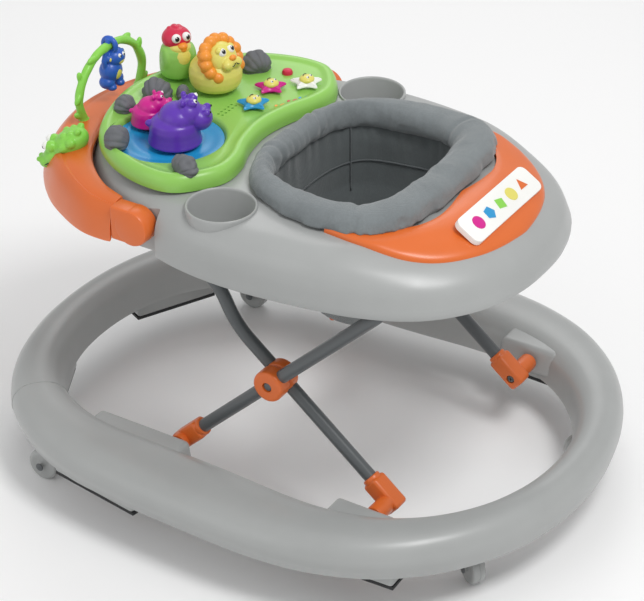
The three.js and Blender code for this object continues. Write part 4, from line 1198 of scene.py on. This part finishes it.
ROCKS = (("front", 131, -188, 18, 14, 15, 20), ("side", 144, -84, 18, 12, 13, 70),
         ("corner", 58, -229, 13, 12, 13, 0), ("middle", 9, -217, 18, 15, 17, 110),
         ("small", -4, -189, 9, 8, 10, 40), ("far", -114, -158, 19, 15, 17, 150))
ROCK_SINK, ROCK_Z = 7.5, 434


def ribbed(q, seed):
    """A unit ball's point moved into a lumpy stone with fanned ribs."""
    fan = math.atan2(q.x, q.z + 0.35)
    rib = abs(math.sin(fan * 6.5))
    lump = noise.noise(q * 1.6 + Vector((seed, 0, 0))) * 0.16
    return q * (1 + lump + 0.13 * (rib ** 0.7 - 0.6) * (1 - 0.5 * abs(q.y)))


for name, x, y, rx, ry, rz, turn in ROCKS:
    verts, faces = ball(0, 0, 0, 1, 1, 1, 96)
    size = Matrix.Rotation(math.radians(turn), 3, "Z") @ Matrix.Diagonal((rx, ry, rz))
    points = [size @ ribbed(v.normalized(), x) for v in verts]
    points = [Vector((p.x + x, p.y + y, max(p.z, -ROCK_SINK) + ROCK_Z)) for p in points]
    piece(f"rock_{name}_shell", (points, faces), ROCK, "tray", f"rock_{name}", 0, "rock_grey")

# ---- front handle -------------------------------------------------------------------------------
HANDLE_SECTION = [(0, 0.02), (0, 0.4), (0, 0.66), (-0.07, 0.8), (-0.15, 0.93), (-0.14, 0.985), (-0.08, 1),
                  (0.2, 0.99), (0.42, 0.955), (0.56, 0.91), (0.6, 0.925), (0.64, 0.905), (0.72, 0.84),
                  (0.84, 0.7), (0.94, 0.46), (1, 0.16), (0.995, 0.02)]
HANDLE_TOP, HANDLE_LOW, HANDLE_WALL = 399, 352, 3


def both_sides(half):
    """Carries a line from the left to the middle on to the right."""
    return [*half, *[(-x, *rest) for x, *rest in half[-2::-1]]]


def handle_rows(steps=96, fine=44):
    inner = smooth_curve(both_sides(HANDLE_INNER), False, steps + 1)
    outer = smooth_curve(both_sides(HANDLE_OUTER), False, steps + 1)
    section = smooth_curve(HANDLE_SECTION, False, fine)
    rows = []
    for i, (a, b) in enumerate(zip(inner, outer)):
        middle = 1 - abs(2 * i / steps - 1)
        bottom = HANDLE_LOW - 16 * middle ** 0.6
        across = b - a
        wall = HANDLE_WALL / across.length

        def at(share, up, drop=0):
            return a + across * share + Vector((0, 0, bottom + (HANDLE_TOP - bottom) * up - drop))
        outside = [at(q.x, q.y) for q in section]
        inside = [at(wall + q.x * (1 - 2 * wall), q.y, HANDLE_WALL if q.y > 0.13 else 0)
                  for q in section[::3]]
        rows.append(outside + inside[::-1])
    return rows


bar = solid("handle_moulding", grid(handle_rows()))
for _, side in SIDES:
    carve(bar, rod("x", side * 180, side * 230, *HINGE, KNUCKLE_R + 0.8, 0.1, 72),
          block(side * 194.6, side * 203.4, -165, HINGE[0], 365.6, 386.4, 0.3))
finish(bar, ORANGE, "handle", "handle_bar", 40)
for name, side in SIDES:
    drum = rod("x", side * (POCKET_X + 1), side * 213, *HINGE, KNUCKLE_R, 3.4, 72)
    heel = block(side * (POCKET_X + 1.6), side * 212.3, -141.6, HINGE[0] - 0.4, 356.4, 398.6, 3)
    tongue = block(side * 195, side * 203, -164, HINGE[0], 366, 386, 2)
    pin = rod("x", side * (POCKET_X - 9), side * (POCKET_X + 4), *HINGE, 5, 0.6)
    groove = rod("x", side * 196, side * 197.2, *HINGE, KNUCKLE_R + 0.25, 0.4, 72)
    piece(f"knuckle_{name}", joined(drum, heel, tongue, pin, groove), ORANGE, "handle",
          f"handle_knuckle_{name}", 40, "orange_plastic")

ARCH_TOP = 472
ARCH_HALF = [(56, ARCH_Y, 396), (64, ARCH_Y, 425), (51, ARCH_Y, 452), (25, ARCH_Y, 469),
             (0, ARCH_Y, ARCH_TOP)]


def make_vine():
    """The arch, with a thickness that wanders and leaves that lean to both sides."""
    arch = smooth_curve([Vector(p) for p in both_sides(ARCH_HALF)], False, 90)
    vine = [tube(arch, [5.2 * (1 + 0.22 * noise.noise(p * 0.07)) for p in arch], 20)]
    for k, p in enumerate(arch):
        if k % 9 == 4 and abs(p.x) > 16:
            out = Vector((p.x, 0, p.z - 425)).normalized()
            turn = 1 if (k // 9) % 2 else -1
            tilt = math.degrees(math.atan2(out.x, out.z)) + turn * 48
            leaf = turned(ball(0, 0, 0, 4.2, 3.6, 8.5, 20), tilt, "Y")
            vine.append(shifted(leaf, p.x + out.x * 4.4, p.y + turn * 2.2, p.z + out.z * 4.4))
    vine += [ball(*arch[0], 7, 7, 6), ball(*arch[-1], 7, 7, 6)]
    toy("vine_arch_skin", vine, LEAF, "handle", "vine_arch", 0.9, 3)


def make_croc():
    place = placed(115, -270, 398, 22) @ Matrix.Rotation(math.radians(36), 4, "X")
    croc = balls(place, (0, 2, 0, 19.5, 25, 16, 36), (0, -22, -2, 16, 18, 11.5, 32),
                 (0, -36, -3, 12.5, 10, 9), (8.5, -17, 10.5, 7.4, 7.4, 7.4), (5, -42, 4, 3.4, 3.4, 3),
                 *[(8, 4 + 9 * k, 13 - 2.4 * k, 4.6, 4.6, 4.2) for k in range(3)],
                 *[(17, -1 + 11 * k, 3, 5, 6.5, 6) for k in range(2)])
    toy("croc_skin", croc, LEAF, "handle", "croc_head", 1.0, 4)
    for e, side in PAIR:
        add_eye(f"croc_eye_{side}", place, (e * 8.5, -20.5, 14), 5.4, (e * 0.25, -0.9, 0.2), "handle")
    piece("croc_mouth", tube(snout_line(place, 14.5, -25, 20.5, -4.2), 0.7, 10), BLACK, "handle", angle=0)


def make_monkey():
    """The blue animal hangs from the arch by its hands, with its head a little to one side."""
    middle = -1
    body, head = placed(middle, ARCH_Y), placed(middle - 5, ARCH_Y)
    grip = [(middle, ARCH_Y + 8.8 * math.sin(a), ARCH_TOP + 8.8 * math.cos(a))
            for a in (2 * math.pi * k / 40 for k in range(41))]
    monkey = [tube(grip, 3.3, 18), *balls(body, (0, 0, 439, 15.5, 13.5, 14.5)),
              *balls(head, (0, 3, 456, 13.6, 12.4, 11.4), (12.5, 4, 457, 4.4, 3.2, 4.6)),
              *balls(body, (8.5, 0, 426, 9.6, 10, 8.4), (8, 6, 421, 6, 7, 4.6))]
    arm = ((11, 446), (12.5, 455), (8, 465), (2, 481))
    monkey += [tube([(middle + e * x, ARCH_Y, z) for x, z in arm], 3.4, 16) for e in (-1, 1)]
    toy("monkey_skin", monkey, BLUE, "monkey", "monkey", 0.8, 3)
    toy("monkey_face", balls(head, (0, 9.5, 453, 7.2, 5.8, 5.2), (0, 8.6, 459, 7, 5.4, 4.8)), YELLOW,
        "monkey", (), 0.6, 3)
    toy("monkey_belly", balls(body, (0, 6.5, 438, 9, 7.4, 10)), YELLOW, "monkey", (), 0.6, 2)
    for e, side in PAIR:
        add_eye(f"monkey_eye_{side}", head, (e * 3.2, 12.6, 460.2), 2.7, (0, 1, 0.1), "monkey")
        piece(f"monkey_ear_{side}", moved(ball(e * 12.6, 6, 457, 2.6, 1.8, 2.8, 16), head), YELLOW, "monkey")


make_vine()
make_croc()
make_monkey()

# ---- frame nodes kept as they are, with their finish --------------------------------------------
for prefix, paint in (("stop_strip", RUBBER), ("tray_saddle", GREY), ("tray_guide", GREY),
                      ("panel_base", GREY), ("battery_lid", GREY)):
    for node in NODES:
        if node.startswith(prefix):
            NODES[node].data.materials.clear()
            NODES[node].data.materials.append(paint)

# ---- floor, light and camera --------------------------------------------------------------------
LAMPS = (("key", (0.5, 1.3, 2.6), 0.8, 32), ("fill", (2.4, -1.2, 1.6), 2.0, 7),
         ("back", (-1.6, -0.9, 2.0), 1.2, 9))
CAMERA_TURN, CAMERA_RISE, CAMERA_DISTANCE = 121.84, 31.83, 3.0
CAMERA_AIM = (-0.0827, -0.0442, 0.1508)
SENSOR, FOCAL_SHARE = 36, 2414.5 / 644


def studio():
    reach = 6
    floor_mesh = bpy.data.meshes.new("floor")
    floor_mesh.from_pydata([(x * reach, y * reach, 0) for x, y in ((-1, -1), (1, -1), (1, 1), (-1, 1))], [],
                           [(0, 1, 2, 3)])
    floor = bpy.data.objects.new("floor", floor_mesh)
    bpy.context.scene.collection.objects.link(floor)
    floor_mesh.materials.append(Paint("floor_paper").done({"Base Color": (0.95, 0.95, 0.95, 1),
                                                           "Roughness": 0.9}))
    world = bpy.data.worlds.new("studio")
    bpy.context.scene.world = world
    world.use_nodes = True
    world.node_tree.nodes["Background"].inputs["Color"].default_value = (1, 1, 1, 1)
    world.node_tree.nodes["Background"].inputs["Strength"].default_value = 0.63
    bpy.context.scene.view_settings.view_transform = "Standard"
    for name, spot, size, power in LAMPS:
        lamp = bpy.data.lights.new(name, "AREA")
        lamp.energy = power
        lamp.size = size
        holder = bpy.data.objects.new(name, lamp)
        holder.location = spot
        aim = Vector((0, 0, 0.25)) - Vector(spot)
        holder.rotation_euler = aim.to_track_quat("-Z", "Y").to_euler()
        bpy.context.scene.collection.objects.link(holder)


def camera():
    data = bpy.data.cameras.new("camera")
    data.sensor_width = SENSOR
    data.lens = FOCAL_SHARE * SENSOR
    data.clip_end = 30
    turn, rise = math.radians(CAMERA_TURN), math.radians(CAMERA_RISE)
    back = Vector((math.sin(turn) * math.cos(rise), -math.cos(turn) * math.cos(rise), math.sin(rise)))
    holder = bpy.data.objects.new("camera", data)
    holder.location = Vector(CAMERA_AIM) + back * CAMERA_DISTANCE
    holder.rotation_euler = back.to_track_quat("Z", "Y").to_euler()
    bpy.context.scene.collection.objects.link(holder)
    bpy.context.scene.camera = holder


studio()
camera()
